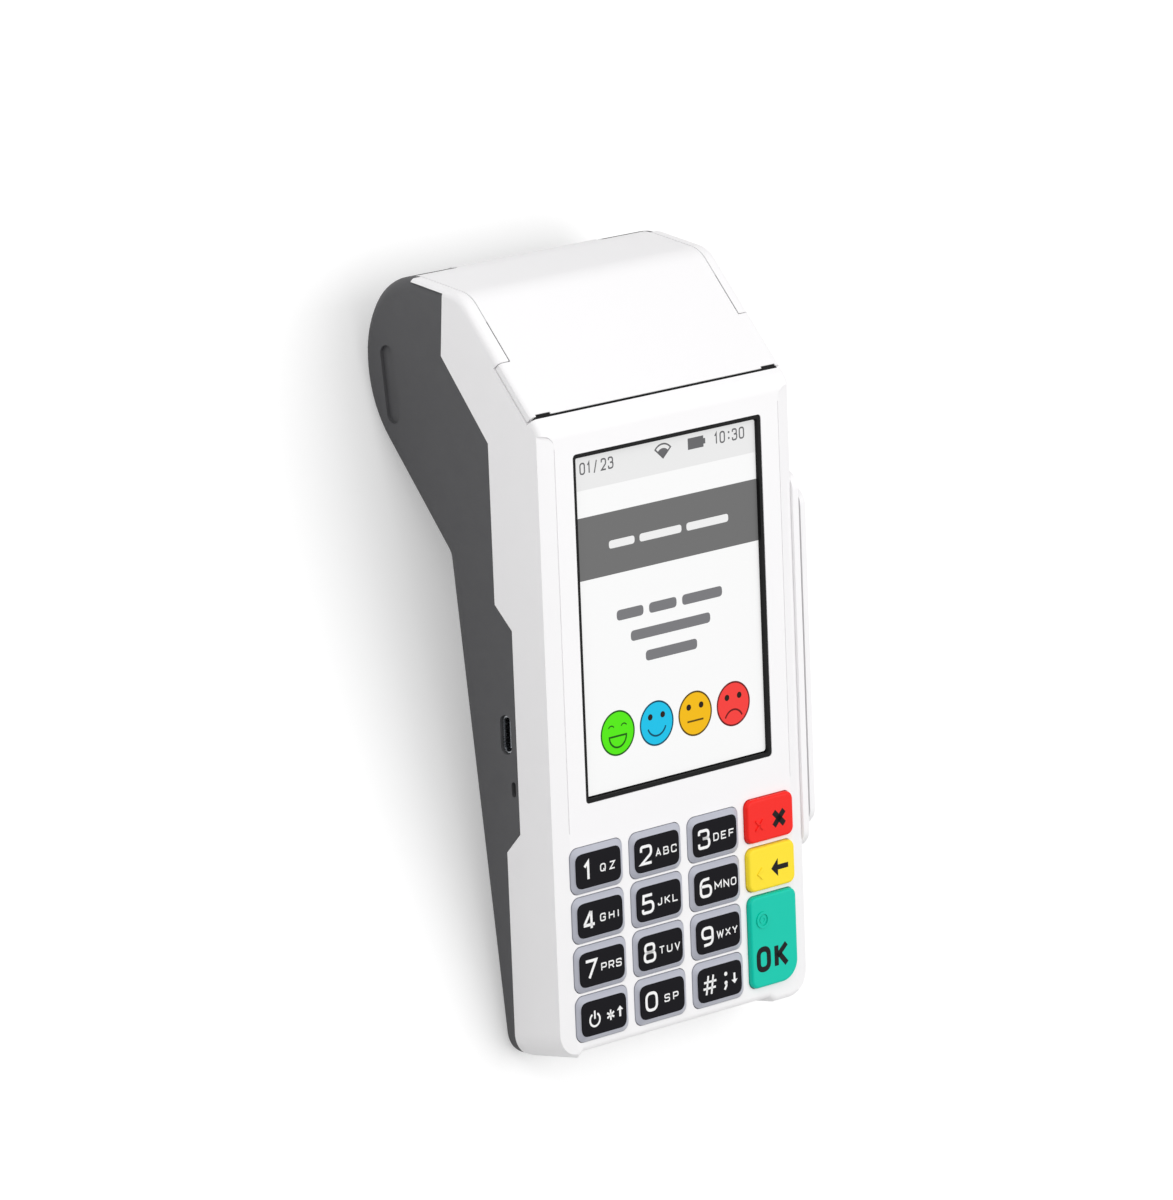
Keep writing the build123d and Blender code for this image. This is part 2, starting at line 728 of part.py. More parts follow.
IDLER = step(PLATEN, IDLER_DIRECTION, GEAR_MODULE * (PLATEN_TEETH + IDLER_TEETH) / 2)
PINION = step(IDLER, PINION_DIRECTION, GEAR_MODULE * (IDLER_TEETH + PINION_TEETH) / 2)
idler_phase = IDLER_DIRECTION + 180 + 180 / IDLER_TEETH
idler_gap_turns = (PINION_DIRECTION - idler_phase) / (360 / IDLER_TEETH)
pinion_phase = PINION_DIRECTION + 180 + 360 / PINION_TEETH * (0.5 + idler_gap_turns)
platen_gear = gear(PLATEN, PLATEN_TEETH, PLATEN_SHAFT_RADIUS, IDLER_DIRECTION)
idler_gear = gear(IDLER, IDLER_TEETH, AXLE_RADIUS + SHAFT_RUNNING, idler_phase)
motor_pinion = gear(PINION, PINION_TEETH, MOTOR_SHAFT_RADIUS + SHAFT_RUNNING, pinion_phase)
idler_stud = rod(*IDLER, AXLE_RADIUS, frame_inner, shaft_end)
stepper_motor = rod(*PINION, MOTOR_RADIUS, frame_inner - MOTOR_LENGTH, frame_inner)
stepper_motor += rod(*PINION, MOTOR_SHAFT_RADIUS, frame_inner, shaft_end)

# Print head, in its own side-view frame: depth away from the platen, up along its face
HEAD_FACE = step(PLATEN, HEAD_DIRECTION, PLATEN_RADIUS + PAPER_GAP)


def head_point(depth, up):
    return step(step(HEAD_FACE, HEAD_DIRECTION, depth), HEAD_DIRECTION - 90, up)


def head_slab(depth0, depth1, up0, up1, x0, x1):
    corners = ((depth0, up0), (depth1, up0), (depth1, up1), (depth0, up1))
    points = [head_point(depth, up) for depth, up in corners]
    return across(polygon(points), x0, x1)


head_half = platen_half + HEAD_OVERHANG
sink_back = HEAD_BOARD_THICKNESS + HEAD_SINK_THICKNESS
HEAD_PIVOT = head_point(HEAD_PIVOT_DEPTH, -HEAD_PIVOT_DOWN)
print_head_board = head_slab(0, HEAD_BOARD_THICKNESS, -HEAD_BOARD_DOWN, HEAD_BOARD_UP, -head_half, head_half)
print_head = head_slab(HEAD_BOARD_THICKNESS, sink_back, -HEAD_PIVOT_DOWN, HEAD_BOARD_UP,
                       -head_half, head_half)
print_head += rod(*HEAD_PIVOT, HEAD_BARREL_RADIUS, -head_half, head_half)
print_head -= rod(*HEAD_PIVOT, HEAD_PIN_RADIUS + SHAFT_RUNNING, -BIG, BIG)
print_head -= print_head_board
head_pivot_pin = rod(*HEAD_PIVOT, HEAD_PIN_RADIUS, -frame_outer, frame_outer)

spring_sketch = Circle(HEAD_SPRING_RADIUS) - Circle(HEAD_SPRING_RADIUS - HEAD_SPRING_WALL)
spring_back = sink_back + HEAD_SPRING_LENGTH
head_springs = Part()
for side in (-1, 1):
    seat = head_point(sink_back, 1.0)
    facing = Plane(
        origin=(side * HEAD_SPRING_X, *seat),
        x_dir=(1, 0, 0),
        z_dir=(0, cosine(HEAD_DIRECTION), sine(HEAD_DIRECTION)),
    )
    head_springs += extrude(facing * spring_sketch, amount=HEAD_SPRING_LENGTH)

# Printer frame: two side plates, the plate behind the springs and two feet
frame_side = polygon([
    (FRAME_TAB_Y - FRAME_TAB_LENGTH / 2, FRAME_TAB_Z),
    (FRAME_TAB_Y - FRAME_TAB_LENGTH / 2, PINION[1] + FRAME_OVER_PINION),
    (PINION[0] + FRAME_BEHIND_PINION, PLATEN[1] + FRAME_OVER_PLATEN),
    (HEAD_FACE[0] + FRAME_BEYOND_HEAD, PLATEN[1] + FRAME_OVER_HEAD),
    (PLATEN[0] + FRAME_BEYOND_PLATEN, PLATEN[1] + FRAME_SEAT_LIP),
    (PLATEN[0] + FRAME_BEYOND_PLATEN, PLATEN[1] - FRAME_OVER_PLATEN),
    (HEAD_PIVOT[0] + FRAME_BEYOND_PIVOT, HEAD_PIVOT[1] - FRAME_UNDER_PIVOT),
    (FRAME_TAB_Y + FRAME_TAB_LENGTH / 2, FRAME_TAB_Z),
])
seat_half = PLATEN_SHAFT_RADIUS + SHAFT_SEAT_CLEARANCE
shaft_seat = Pos(*PLATEN) * Circle(seat_half)
leave_direction = math.degrees(math.atan2(PLATEN[1] - HINGE_Z, PLATEN[0] - HINGE_Y)) - 90
way_half = seat_half + SHAFT_WAY_FLARE
shaft_way = polygon([
    step(PLATEN, leave_direction + 90, seat_half),
    step(step(PLATEN, leave_direction + 90, way_half), leave_direction, SHAFT_WAY_LENGTH),
    step(step(PLATEN, leave_direction - 90, way_half), leave_direction, SHAFT_WAY_LENGTH),
    step(PLATEN, leave_direction - 90, seat_half),
])
frame_side -= shaft_seat + shaft_way
frame_plate = across(frame_side, frame_inner, frame_outer)
frame_foot = block(frame_inner, frame_inner + FRAME_TAB_REACH, FRAME_TAB_Y - FRAME_TAB_LENGTH / 2,
                   FRAME_TAB_Y + FRAME_TAB_LENGTH / 2, FRAME_TAB_Z - FRAME_THICKNESS, FRAME_TAB_Z)
printer_frame = frame_plate + mirror(frame_plate, Plane.YZ) + frame_foot + mirror(frame_foot, Plane.YZ)
printer_frame += head_slab(spring_back, spring_back + FRAME_THICKNESS, -SPRING_PLATE_DOWN, SPRING_PLATE_UP,
                           -frame_outer, frame_outer)
post_x = frame_outer + (FRAME_TAB_REACH - FRAME_THICKNESS) / 2
printer_frame -= rod(*HEAD_PIVOT, HEAD_PIN_RADIUS, -BIG, BIG)
printer_frame += idler_stud
printer_frame -= rod(*PINION, MOTOR_SHAFT_RADIUS + 1, 0, BIG)

printer_screws = Part()
for side in (-1, 1):
    printer_frame -= column(side * post_x, FRAME_TAB_Y, SMALL_SCREW_RADIUS,
                            FRAME_TAB_Z - PRINTER_SCREW_LENGTH, FRAME_TAB_Z + 1)
    printer_screws += column(side * post_x, FRAME_TAB_Y, SMALL_SCREW_RADIUS,
                             FRAME_TAB_Z - PRINTER_SCREW_LENGTH, FRAME_TAB_Z)
    printer_screws += column(side * post_x, FRAME_TAB_Y, SMALL_HEAD_RADIUS, FRAME_TAB_Z,
                             FRAME_TAB_Z + SMALL_HEAD_HEIGHT)

# Tear bar under the cover's lower edge
tear_start = -(platen_half + TEAR_BAR_OVERHANG)
teeth_count = int(-2 * tear_start / TEAR_TOOTH)
tear_outline = [(tear_start, TEAR_BAR_WIDTH)]
for tooth in range(teeth_count):
    tear_outline.append((tear_start + tooth * TEAR_TOOTH, 0.5))
    tear_outline.append((tear_start + (tooth + 0.5) * TEAR_TOOTH, 0))
tear_outline.append((tear_start + teeth_count * TEAR_TOOTH, 0.5))
tear_outline.append((tear_start + teeth_count * TEAR_TOOTH, TEAR_BAR_WIDTH))
tear_origin = slope_point(SLIT_ALONG + 0.2, -COVER_THICKNESS)
tear_plane = Plane(
    origin=(0, *tear_origin),
    x_dir=(1, 0, 0),
    z_dir=(0, sine(SLOPE_ANGLE), cosine(SLOPE_ANGLE)),
)
tear_bar = extrude(tear_plane * polygon(tear_outline), amount=-TEAR_BAR_THICKNESS)

# Paper bay, roll and core
bay_outer = BAY_RADIUS + BAY_WALL
bay_half = PAPER_WIDTH / 2 + BAY_SIDE_GAP
open_points = [BAY_CENTRE]
open_middle = (BAY_FRONT_ANGLE + BAY_BACK_ANGLE - 360) / 2
open_half = (BAY_FRONT_ANGLE - (BAY_BACK_ANGLE - 360)) / 2
for turn in (-1, -0.5, 0, 0.5, 1):
    open_points.append(step(BAY_CENTRE, open_middle + turn * open_half, BIG))
bay_mouth = polygon(open_points)
bay_ring = Pos(*BAY_CENTRE) * (Circle(bay_outer) - Circle(BAY_RADIUS)) - bay_mouth
bay_side = Pos(*BAY_CENTRE) * Circle(bay_outer)
bay_side = bay_side - cover_outside(COVER_THICKNESS + COVER_GAP)
paper_bay = across(bay_ring, -bay_half, bay_half)
bay_end = across(bay_side, bay_half, bay_half + BAY_WALL)
paper_bay += bay_end + mirror(bay_end, Plane.YZ)

ROLL = (BAY_Y, BAY_Z - (BAY_RADIUS - ROLL_RADIUS - ROLL_SEAT_GAP))
roll_half = PAPER_WIDTH / 2
paper_roll = rod(*ROLL, ROLL_RADIUS, -roll_half, roll_half) - rod(*ROLL, CORE_RADIUS, -BIG, BIG)
paper_core = rod(*ROLL, CORE_RADIUS, -roll_half, roll_half) - rod(*ROLL, CORE_RADIUS - CORE_WALL, -BIG, BIG)

# Screen stack
lens_width = SCREEN_WIDTH + 2 * LENS_LAP
lens_height = SCREEN_HEIGHT + 2 * LENS_LAP
lens_top = -SCREEN_DEPTH
lens_bottom = lens_top - LENS_THICKNESS
screen_lens = plate(0, 0, lens_width, lens_height, SCREEN_CORNER, lens_bottom, lens_top)
gasket_width = SCREEN_WIDTH - 2 * GASKET_CLEARANCE
gasket_height = SCREEN_HEIGHT - 2 * GASKET_CLEARANCE
gasket_hole = plate(0, 0, gasket_width - 2 * GASKET_WIDTH, gasket_height - 2 * GASKET_WIDTH,
                    SCREEN_CORNER / 2, -BIG, BIG)
screen_gasket = plate(0, 0, gasket_width, gasket_height, SCREEN_CORNER, lens_top, -GASKET_BELOW_FACE)
screen_gasket -= gasket_hole
panel_top = lens_bottom
panel_bottom = panel_top - PANEL_THICKNESS
panel_width = lens_width - 2 * PANEL_MARGIN
panel_height = lens_height - 2 * PANEL_MARGIN
display_panel = plate(0, 0, panel_width, panel_height, SCREEN_CORNER, panel_bottom, panel_top)
coil_top = panel_bottom
coil_width = panel_width - 2 * ANTENNA_MARGIN
coil_height = panel_height - 2 * ANTENNA_MARGIN
contactless_antenna = plate(0, 0, coil_width, coil_height, SCREEN_CORNER,
                            coil_top - ANTENNA_THICKNESS, coil_top)
contactless_antenna -= plate(0, 0, coil_width - 2 * ANTENNA_BAND, coil_height - 2 * ANTENNA_BAND,
                             SCREEN_CORNER, -BIG, BIG)

# Keys
flange_top = -WALL - KEY_FLANGE_GAP
flange_bottom = flange_top - KEY_FLANGE_THICKNESS
stem_bottom = flange_bottom - KEY_STEM_LENGTH
dome_top = stem_bottom - KEY_TRAVEL - DOME_GAP
membrane_top = dome_top - DOME_HEIGHT


def rounded_plan(width, height, corner, big_corner=None):
    """Rounded rectangle; big_corner, if given, rounds its lower right corner."""
    last = corner if big_corner is None else big_corner
    return rounded_face([
        ((-width / 2, -height / 2), corner),
        ((width / 2, -height / 2), last),
        ((width / 2, height / 2), corner),
        ((-width / 2, height / 2), corner),
    ])


def key_base(width, height, corner, big_corner=None):
    """Shaft through the housing, flange under it and stem over the dome."""
    shaft = extrude(Pos(0, 0, flange_top) * rounded_plan(width, height, corner, big_corner),
                    amount=KEY_LIP_RISE - flange_top)
    flange_plan = rounded_plan(width + 2 * KEY_FLANGE, height + 2 * KEY_FLANGE, KEY_FLANGE_CORNER)
    flange = extrude(Pos(0, 0, flange_bottom) * flange_plan, amount=KEY_FLANGE_THICKNESS)
    stem = block(-KEY_STEM_WIDTH / 2, KEY_STEM_WIDTH / 2, -KEY_STEM_WIDTH / 2, KEY_STEM_WIDTH / 2,
                 stem_bottom, flange_bottom)
    return shaft + flange + stem


def number_key():
    """Key with bevelled sides round a raised flat top."""
    low = Pos(0, 0, KEY_LIP_RISE) * rounded_plan(KEY_WIDTH, KEY_HEIGHT, KEY_CORNER)
    high = Pos(0, 0, KEY_RISE) * rounded_plan(KEY_WIDTH - 2 * KEY_BEVEL, KEY_HEIGHT - 2 * KEY_BEVEL,
                                              KEY_CORNER - KEY_BEVEL / 2)
    key = key_base(KEY_WIDTH, KEY_HEIGHT, KEY_CORNER) + loft([low, high])
    top_edges = key.faces().sort_by(Axis.Z)[-1].edges()
    return fillet(top_edges, KEY_TOP_ROUND)


def colour_key(height, big_corner=None):
    """Full-topped key with a soft upper edge."""
    cap_plan = rounded_plan(COLOUR_KEY_WIDTH, height, COLOUR_KEY_CORNER, big_corner)
    cap = extrude(Pos(0, 0, KEY_LIP_RISE) * cap_plan, amount=COLOUR_KEY_RISE - KEY_LIP_RISE)
    key = key_base(COLOUR_KEY_WIDTH, height, COLOUR_KEY_CORNER, big_corner) + cap
    top_edges = key.faces().sort_by(Axis.Z)[-1].edges()
    return fillet(top_edges, COLOUR_KEY_TOP_ROUND)


KEY_NAMES = (("key_1", "key_2", "key_3"), ("key_4", "key_5", "key_6"), ("key_7", "key_8", "key_9"),
             ("key_star", "key_0", "key_hash"))
keys = {}
key_holes = Part()
plain_key = number_key()
for row, names in enumerate(KEY_NAMES):
    for place, name in enumerate(names):
        spot = Pos(KEY_LEFT_X + place * KEY_PITCH_X, KEY_TOP_Y - row * KEY_PITCH_Y, 0)
        keys[name] = (spot, plain_key)
        key_holes += spot * plate(0, 0, KEY_WIDTH + 2 * KEY_CLEARANCE, KEY_HEIGHT + 2 * KEY_CLEARANCE,
                                  KEY_CORNER, -BIG, BIG)
short_key = colour_key(COLOUR_KEY_HEIGHT)
ok_height = COLOUR_KEY_HEIGHT + KEY_PITCH_Y
tall_key = colour_key(ok_height, OK_KEY_CORNER)
COLOUR_KEYS = (("key_cancel", 0, short_key, COLOUR_KEY_HEIGHT, None),
               ("key_clear", 1, short_key, COLOUR_KEY_HEIGHT, None),
               ("key_ok", 2.5, tall_key, ok_height, OK_KEY_CORNER))
for name, row, solid, height, corner in COLOUR_KEYS:
    spot = Pos(COLOUR_KEY_X, KEY_TOP_Y + COLOUR_KEY_SHIFT_Y - row * KEY_PITCH_Y, 0)
    keys[name] = (spot, solid)
    hole = rounded_plan(COLOUR_KEY_WIDTH + 2 * KEY_CLEARANCE, height + 2 * KEY_CLEARANCE,
                        COLOUR_KEY_CORNER, corner)
    key_holes += extrude(spot * Pos(0, 0, -BIG) * hole, amount=2 * BIG)

# Keypad membrane and board
pad_half = HALF - WALL - MEMBRANE_MARGIN
pad_top_y = SCREW_PLACES[1][1] - FRONT_BOSS_RADIUS - MEMBRANE_MARGIN
pad_bottom_y = END_Y + END_WALL + MEMBRANE_MARGIN
membrane_bottom = membrane_top - MEMBRANE_THICKNESS
pad_corner = END_CORNER_ROUND - WALL


def pad_plan(rim, past_top):
    """Outline of the keypad's board, moved in by a rim at its sides and bottom."""
    half = pad_half - rim
    low = pad_bottom_y + rim
    high = pad_top_y + past_top
    return rounded_face([
        ((-half, low), pad_corner - rim),
        ((half, low), pad_corner - rim),
        ((half, high), 0),
        ((-half, high), 0),
    ])


pad_face = pad_plan(0, 0)
keypad_membrane = extrude(Pos(0, 0, membrane_bottom) * pad_face, amount=-WALL - membrane_bottom)
keypad_membrane -= extrude(Pos(0, 0, membrane_top) * pad_plan(MEMBRANE_RIM, 1), amount=BIG)
keypad_membrane -= key_holes & block(-BIG, BIG, -BIG, BIG, membrane_top, 1)
for name, (spot, solid) in keys.items():
    keypad_membrane += spot * column(0, 0, DOME_RADIUS, membrane_top - MEMBRANE_THICKNESS / 2, dome_top)
board_top = membrane_bottom
keypad_board = extrude(Pos(0, 0, board_top - BOARD_THICKNESS) * pad_face, amount=BOARD_THICKNESS)

# Main board, its parts and screws
board_low = MAIN_BOARD_Z - BOARD_THICKNESS
main_half = HALF - WALL - MAIN_BOARD_SIDE_GAP
main_board = block(-main_half, main_half, MAIN_BOARD_BOTTOM_Y, MAIN_BOARD_TOP_Y, board_low, MAIN_BOARD_Z)
board_screws = Part()
board_posts = Part()
for side in (-1, 1):
    for y in BOARD_POSTS_Y:
        x = side * (HALF - WALL - BOARD_POST_FROM_WALL)
        main_board -= column(x, y, SMALL_SCREW_RADIUS + STAKE_CLEARANCE, -BIG, BIG)
        board_screws += column(x, y, SMALL_SCREW_RADIUS, board_low, MAIN_BOARD_Z + 4)
        board_screws += column(x, y, SMALL_HEAD_RADIUS, board_low - SMALL_HEAD_HEIGHT, board_low)
        board_posts += column(x, y, BOARD_POST_RADIUS, MAIN_BOARD_Z, -WALL / 2)
        board_posts -= column(x, y, SMALL_SCREW_RADIUS, MAIN_BOARD_Z - 1, MAIN_BOARD_Z + 5)
board_parts = Part()
for x, y, width, length, height in BOARD_PARTS:
    board_parts += block(x - width / 2, x + width / 2, y - length / 2, y + length / 2,
                         MAIN_BOARD_Z, MAIN_BOARD_Z + height)
coin_cell = column(COIN_CELL_X, COIN_CELL_Y, COIN_CELL_RADIUS, MAIN_BOARD_Z, MAIN_BOARD_Z + COIN_CELL_HEIGHT)

# USB socket under the board's left edge
usb_z = board_low - USB_HEIGHT / 2
usb_round = USB_HEIGHT / 2 - 0.05
usb_face = Pos(USB_Y, usb_z) * RectangleRounded(USB_WIDTH, USB_HEIGHT, usb_round)
usb_hollow = Pos(USB_Y, usb_z) * RectangleRounded(USB_WIDTH - 2 * USB_SHELL, USB_HEIGHT - 2 * USB_SHELL,
                                                  usb_round - USB_SHELL)
usb_front = USB_SET_BACK - HALF
usb_socket = across(usb_face, usb_front, usb_front + USB_DEPTH)
usb_socket -= across(usb_hollow, usb_front, usb_front + USB_DEPTH - 1)
tongue = Pos(USB_Y, usb_z) * Rectangle(USB_WIDTH - 6 * USB_SHELL, USB_TONGUE_THICKNESS)
usb_socket += across(tongue, usb_front + 1, usb_front + USB_DEPTH - 0.5)
port_face = Pos(USB_Y, usb_z) * RectangleRounded(USB_WIDTH + 2 * PORT_CLEARANCE,
                                                 USB_HEIGHT + 2 * PORT_CLEARANCE,
                                                 usb_round + PORT_CLEARANCE)
port_cut = across(port_face, -HALF - 1, WALL - HALF + 1)
slot_face = Pos(SIDE_SLOT_Y, SIDE_SLOT_Z) * RectangleRounded(SIDE_SLOT_LENGTH, SIDE_SLOT_HEIGHT,
                                                            SIDE_SLOT_HEIGHT / 2 - 0.05)
side_slot_cut = across(slot_face, -HALF - 1, WALL - HALF + 1)

# Card reader behind the slot in the bottom end
reader_bottom_y = end_at(READER_TOP_Z) + END_WALL + READER_GAP
reader_half = READER_WIDTH / 2
slot_half = CARD_SLOT_WIDTH / 2
slot_low = CARD_SLOT_Z - CARD_SLOT_HEIGHT / 2
slot_high = CARD_SLOT_Z + CARD_SLOT_HEIGHT / 2
card_reader = block(CARD_X - reader_half, CARD_X + reader_half, reader_bottom_y, READER_TOP_Y,
                    READER_BOTTOM_Z, READER_TOP_Z)
card_reader -= block(CARD_X - slot_half, CARD_X + slot_half, reader_bottom_y - 1, READER_TOP_Y - 3,
                     slot_low, slot_high)
card_cut = block(CARD_X - slot_half, CARD_X + slot_half, end_at(slot_low) - 1, reader_bottom_y,
                 slot_low, slot_high)

# Swipe guide on the right side, with the slot between it and the case
swipe_lip = HALF + SWIPE_LIP
swipe_inner = swipe_lip + SWIPE_SLOT
swipe_outer = swipe_inner + SWIPE_WALL
swipe_bottom_z = SWIPE_FLOOR_Z - SWIPE_FLOOR_THICKNESS


def guide_side(top_z, lead_in):
    """Side view of one of the guide's walls, with lead-ins at its upper corners."""
    return rounded_face([
        ((SWIPE_BOTTOM_Y, swipe_bottom_z), 1.0),
        ((SWIPE_TOP_Y, swipe_bottom_z), 1.0),
        ((SWIPE_TOP_Y, top_z - lead_in), 3.0),
        ((SWIPE_TOP_Y - lead_in, top_z), 4.0),
        ((SWIPE_BOTTOM_Y + lead_in, top_z), 4.0),
        ((SWIPE_BOTTOM_Y, top_z - lead_in), 3.0),
    ])


swipe_guide = across(guide_side(SWIPE_TOP_Z, SWIPE_LEAD_IN), swipe_inner, swipe_outer)
outer_edges = swipe_guide.faces().sort_by(Axis.X)[-1].edges()
swipe_guide = fillet(outer_edges, SWIPE_EDGE_ROUND)
swipe_guide += across(guide_side(SWIPE_LIP_TOP_Z, SWIPE_LIP_LEAD_IN), HALF, swipe_lip)
swipe_guide += block(HALF, swipe_inner + SWIPE_WALL / 2, SWIPE_BOTTOM_Y + 1, SWIPE_TOP_Y - 1,
                     swipe_bottom_z, SWIPE_FLOOR_Z)
stake_z = (swipe_bottom_z + SWIPE_FLOOR_Z) / 2
stake_holes = Part()
for y in SWIPE_STAKES_Y:
    swipe_guide += rod(y, stake_z, SWIPE_STAKE_RADIUS, HALF - WALL, HALF + 1)
    stake_holes += rod(y, stake_z, SWIPE_STAKE_RADIUS + STAKE_CLEARANCE, HALF - WALL - 1, HALF + 1)

# Magnetic head behind its window in the right wall
head_y0 = MAG_HEAD_Y - MAG_HEAD_LENGTH / 2
head_y1 = MAG_HEAD_Y + MAG_HEAD_LENGTH / 2
head_z0 = MAG_HEAD_Z - MAG_HEAD_HEIGHT / 2
head_z1 = MAG_HEAD_Z + MAG_HEAD_HEIGHT / 2
mag_face_x = swipe_lip + MAG_HEAD_PROUD
mag_back_x = mag_face_x - MAG_HEAD_DEPTH
mag_plan = rounded_face([
    ((mag_back_x, head_y0), 0),
    ((mag_face_x, head_y0), MAG_HEAD_NOSE),
    ((mag_face_x, head_y1), MAG_HEAD_NOSE),
    ((mag_back_x, head_y1), 0),
])
magnetic_head = extrude(Pos(0, 0, head_z0) * mag_plan, amount=MAG_HEAD_HEIGHT)
mag_window = block(HALF - WALL - 1, swipe_lip + 1,
                   head_y0 - MAG_HEAD_CLEARANCE, head_y1 + MAG_HEAD_CLEARANCE,
                   head_z0 - MAG_HEAD_CLEARANCE, head_z1 + MAG_HEAD_CLEARANCE)
swipe_guide -= mag_window
mag_spring_x = mag_back_x
mag_spring_half = MAG_SPRING_LENGTH / 2
magnetic_head_spring = block(mag_spring_x - MAG_SPRING_THICKNESS, mag_spring_x,
                             MAG_HEAD_Y - mag_spring_half, MAG_HEAD_Y + mag_spring_half,
                             MAG_HEAD_Z - MAG_SPRING_WIDTH / 2, MAG_HEAD_Z + MAG_SPRING_WIDTH / 2)
mag_posts = Part()
for side in (-1, 1):
    y = MAG_HEAD_Y + side * (MAG_SPRING_LENGTH / 2 - MAG_POST / 2)
    mag_posts += block(mag_spring_x, HALF - WALL / 2, y - MAG_POST / 2, y + MAG_POST / 2,
                       MAG_HEAD_Z - MAG_SPRING_WIDTH / 2, MAG_HEAD_Z + MAG_SPRING_WIDTH / 2)

# Battery cover, battery, latch and contacts, in the rear face's frame (Z inwards from the rear face)
cover_half_width = HALF - BATTERY_COVER_FROM_SIDE
BATTERY_HINGE = (BATTERY_COVER_BOTTOM + WALL / 2, WALL / 2)
battery_cover = block(-cover_half_width, cover_half_width, BATTERY_HINGE[0], BATTERY_COVER_TOP, 0, WALL)
battery_cover += rod(*BATTERY_HINGE, WALL / 2, -cover_half_width, cover_half_width)
opening = block(-cover_half_width - BATTERY_COVER_GAP, cover_half_width + BATTERY_COVER_GAP,
                BATTERY_COVER_BOTTOM - BATTERY_COVER_GAP, BATTERY_COVER_TOP + BATTERY_COVER_GAP,
                -WALL, WALL * 2)
for side in (-1, 1):
    x = side * BATTERY_TAB_X
    battery_cover += block(x - BATTERY_TAB_WIDTH / 2, x + BATTERY_TAB_WIDTH / 2, BATTERY_HINGE[0],
                           BATTERY_COVER_BOTTOM + BATTERY_TAB_REACH, WALL / 2, WALL + BATTERY_TAB_GAP)
    battery_cover += block(x - BATTERY_TAB_WIDTH / 2, x + BATTERY_TAB_WIDTH / 2,
                           BATTERY_COVER_BOTTOM - BATTERY_TAB_REACH,
                           BATTERY_COVER_BOTTOM + BATTERY_TAB_REACH,
                           WALL + BATTERY_TAB_GAP, WALL + BATTERY_TAB_GAP + BATTERY_TAB_THICKNESS)
latch_low = WALL + LATCH_GAP
latch_high = latch_low + LATCH_THICKNESS
latch_top_y = BATTERY_COVER_TOP + LATCH_NOSE
latch_bottom_y = latch_top_y - LATCH_LENGTH
pad_y = latch_bottom_y + LATCH_PAD_LENGTH / 2 + 1
battery_latch = block(-LATCH_WIDTH / 2, LATCH_WIDTH / 2, latch_bottom_y, latch_top_y, latch_low, latch_high)
battery_latch += block(-LATCH_PAD_WIDTH / 2, LATCH_PAD_WIDTH / 2, pad_y - LATCH_PAD_LENGTH / 2,
                       pad_y + LATCH_PAD_LENGTH / 2, 0, latch_low)
battery_cover -= block(-LATCH_PAD_WIDTH / 2 - LATCH_GAP, LATCH_PAD_WIDTH / 2 + LATCH_GAP,
                       pad_y - LATCH_PAD_LENGTH / 2 - LATCH_TRAVEL - LATCH_GAP,
                       pad_y + LATCH_PAD_LENGTH / 2 + LATCH_GAP, -1, WALL + 1)
guide_inner = LATCH_WIDTH / 2 + LATCH_GAP
spring_end_y = latch_bottom_y - LATCH_SPRING_LENGTH
for side in (-1, 1):
    battery_cover += block(side * guide_inner, side * (guide_inner + LATCH_GUIDE),
                           spring_end_y - LATCH_GUIDE, BATTERY_COVER_TOP, WALL, latch_high)
battery_cover += block(-guide_inner, guide_inner, spring_end_y - LATCH_GUIDE, spring_end_y, WALL, latch_high)
spring_mid = (latch_low + latch_high) / 2
latch_spring_plane = Plane(origin=(0, spring_end_y, spring_mid), x_dir=(1, 0, 0), z_dir=(0, 1, 0))
latch_ring = Circle(LATCH_SPRING_RADIUS) - Circle(LATCH_SPRING_RADIUS - LATCH_SPRING_WALL)
battery_latch_spring = extrude(latch_spring_plane * latch_ring, amount=LATCH_SPRING_LENGTH)

battery_low = WALL + BATTERY_SEAT_GAP
battery_half = HALF - BATTERY_FROM_SIDE
battery_pack = block(-battery_half, battery_half, BATTERY_BOTTOM + BATTERY_SEAT_GAP,
                     BATTERY_BOTTOM + BATTERY_LENGTH, battery_low, battery_low + BATTERY_THICKNESS)
battery_pack -= block(-battery_half - 1, battery_half + 1,
                      BATTERY_BOTTOM - 1, BATTERY_COVER_BOTTOM + BATTERY_TAB_REACH + 0.3,
                      battery_low - 1, WALL + BATTERY_TAB_GAP + BATTERY_TAB_THICKNESS + 0.3)
long_edges = battery_pack.edges().filter_by(Axis.Y)
battery_pack = fillet(long_edges, 1.2)
battery_ribs = Part()
for side in (-1, 1):
    inner = cover_half_width + BATTERY_COVER_GAP
    battery_ribs += block(side * inner, side * (inner + BATTERY_RIB), BATTERY_BOTTOM,
                          BATTERY_BOTTOM + BATTERY_LENGTH, WALL / 2, BATTERY_RIB_HEIGHT)

contact_y = BATTERY_BOTTOM + BATTERY_LENGTH + CONTACT_GAP
battery_contacts = block(-CONTACT_WIDTH / 2, CONTACT_WIDTH / 2, contact_y, contact_y + CONTACT_LENGTH,
                         board_low - CONTACT_DROP, board_low)

# Speaker on the rear wall, in the rear face's frame
speaker = column(SPEAKER_X, SPEAKER_Y, SPEAKER_RADIUS, WALL, WALL + SPEAKER_THICKNESS)
speaker += column(SPEAKER_X, SPEAKER_Y, SPEAKER_RADIUS - 2, WALL + SPEAKER_THICKNESS,
                  WALL + SPEAKER_THICKNESS + 0.8)
speaker_holes = column(SPEAKER_X, SPEAKER_Y, SPEAKER_HOLE_RADIUS, -1, WALL + 0.4)
for turn in range(6):
    hole_x, hole_y = step((SPEAKER_X, SPEAKER_Y), 60 * turn, SPEAKER_HOLE_PITCH)
    speaker_holes += column(hole_x, hole_y, SPEAKER_HOLE_RADIUS, -1, WALL + 0.4)

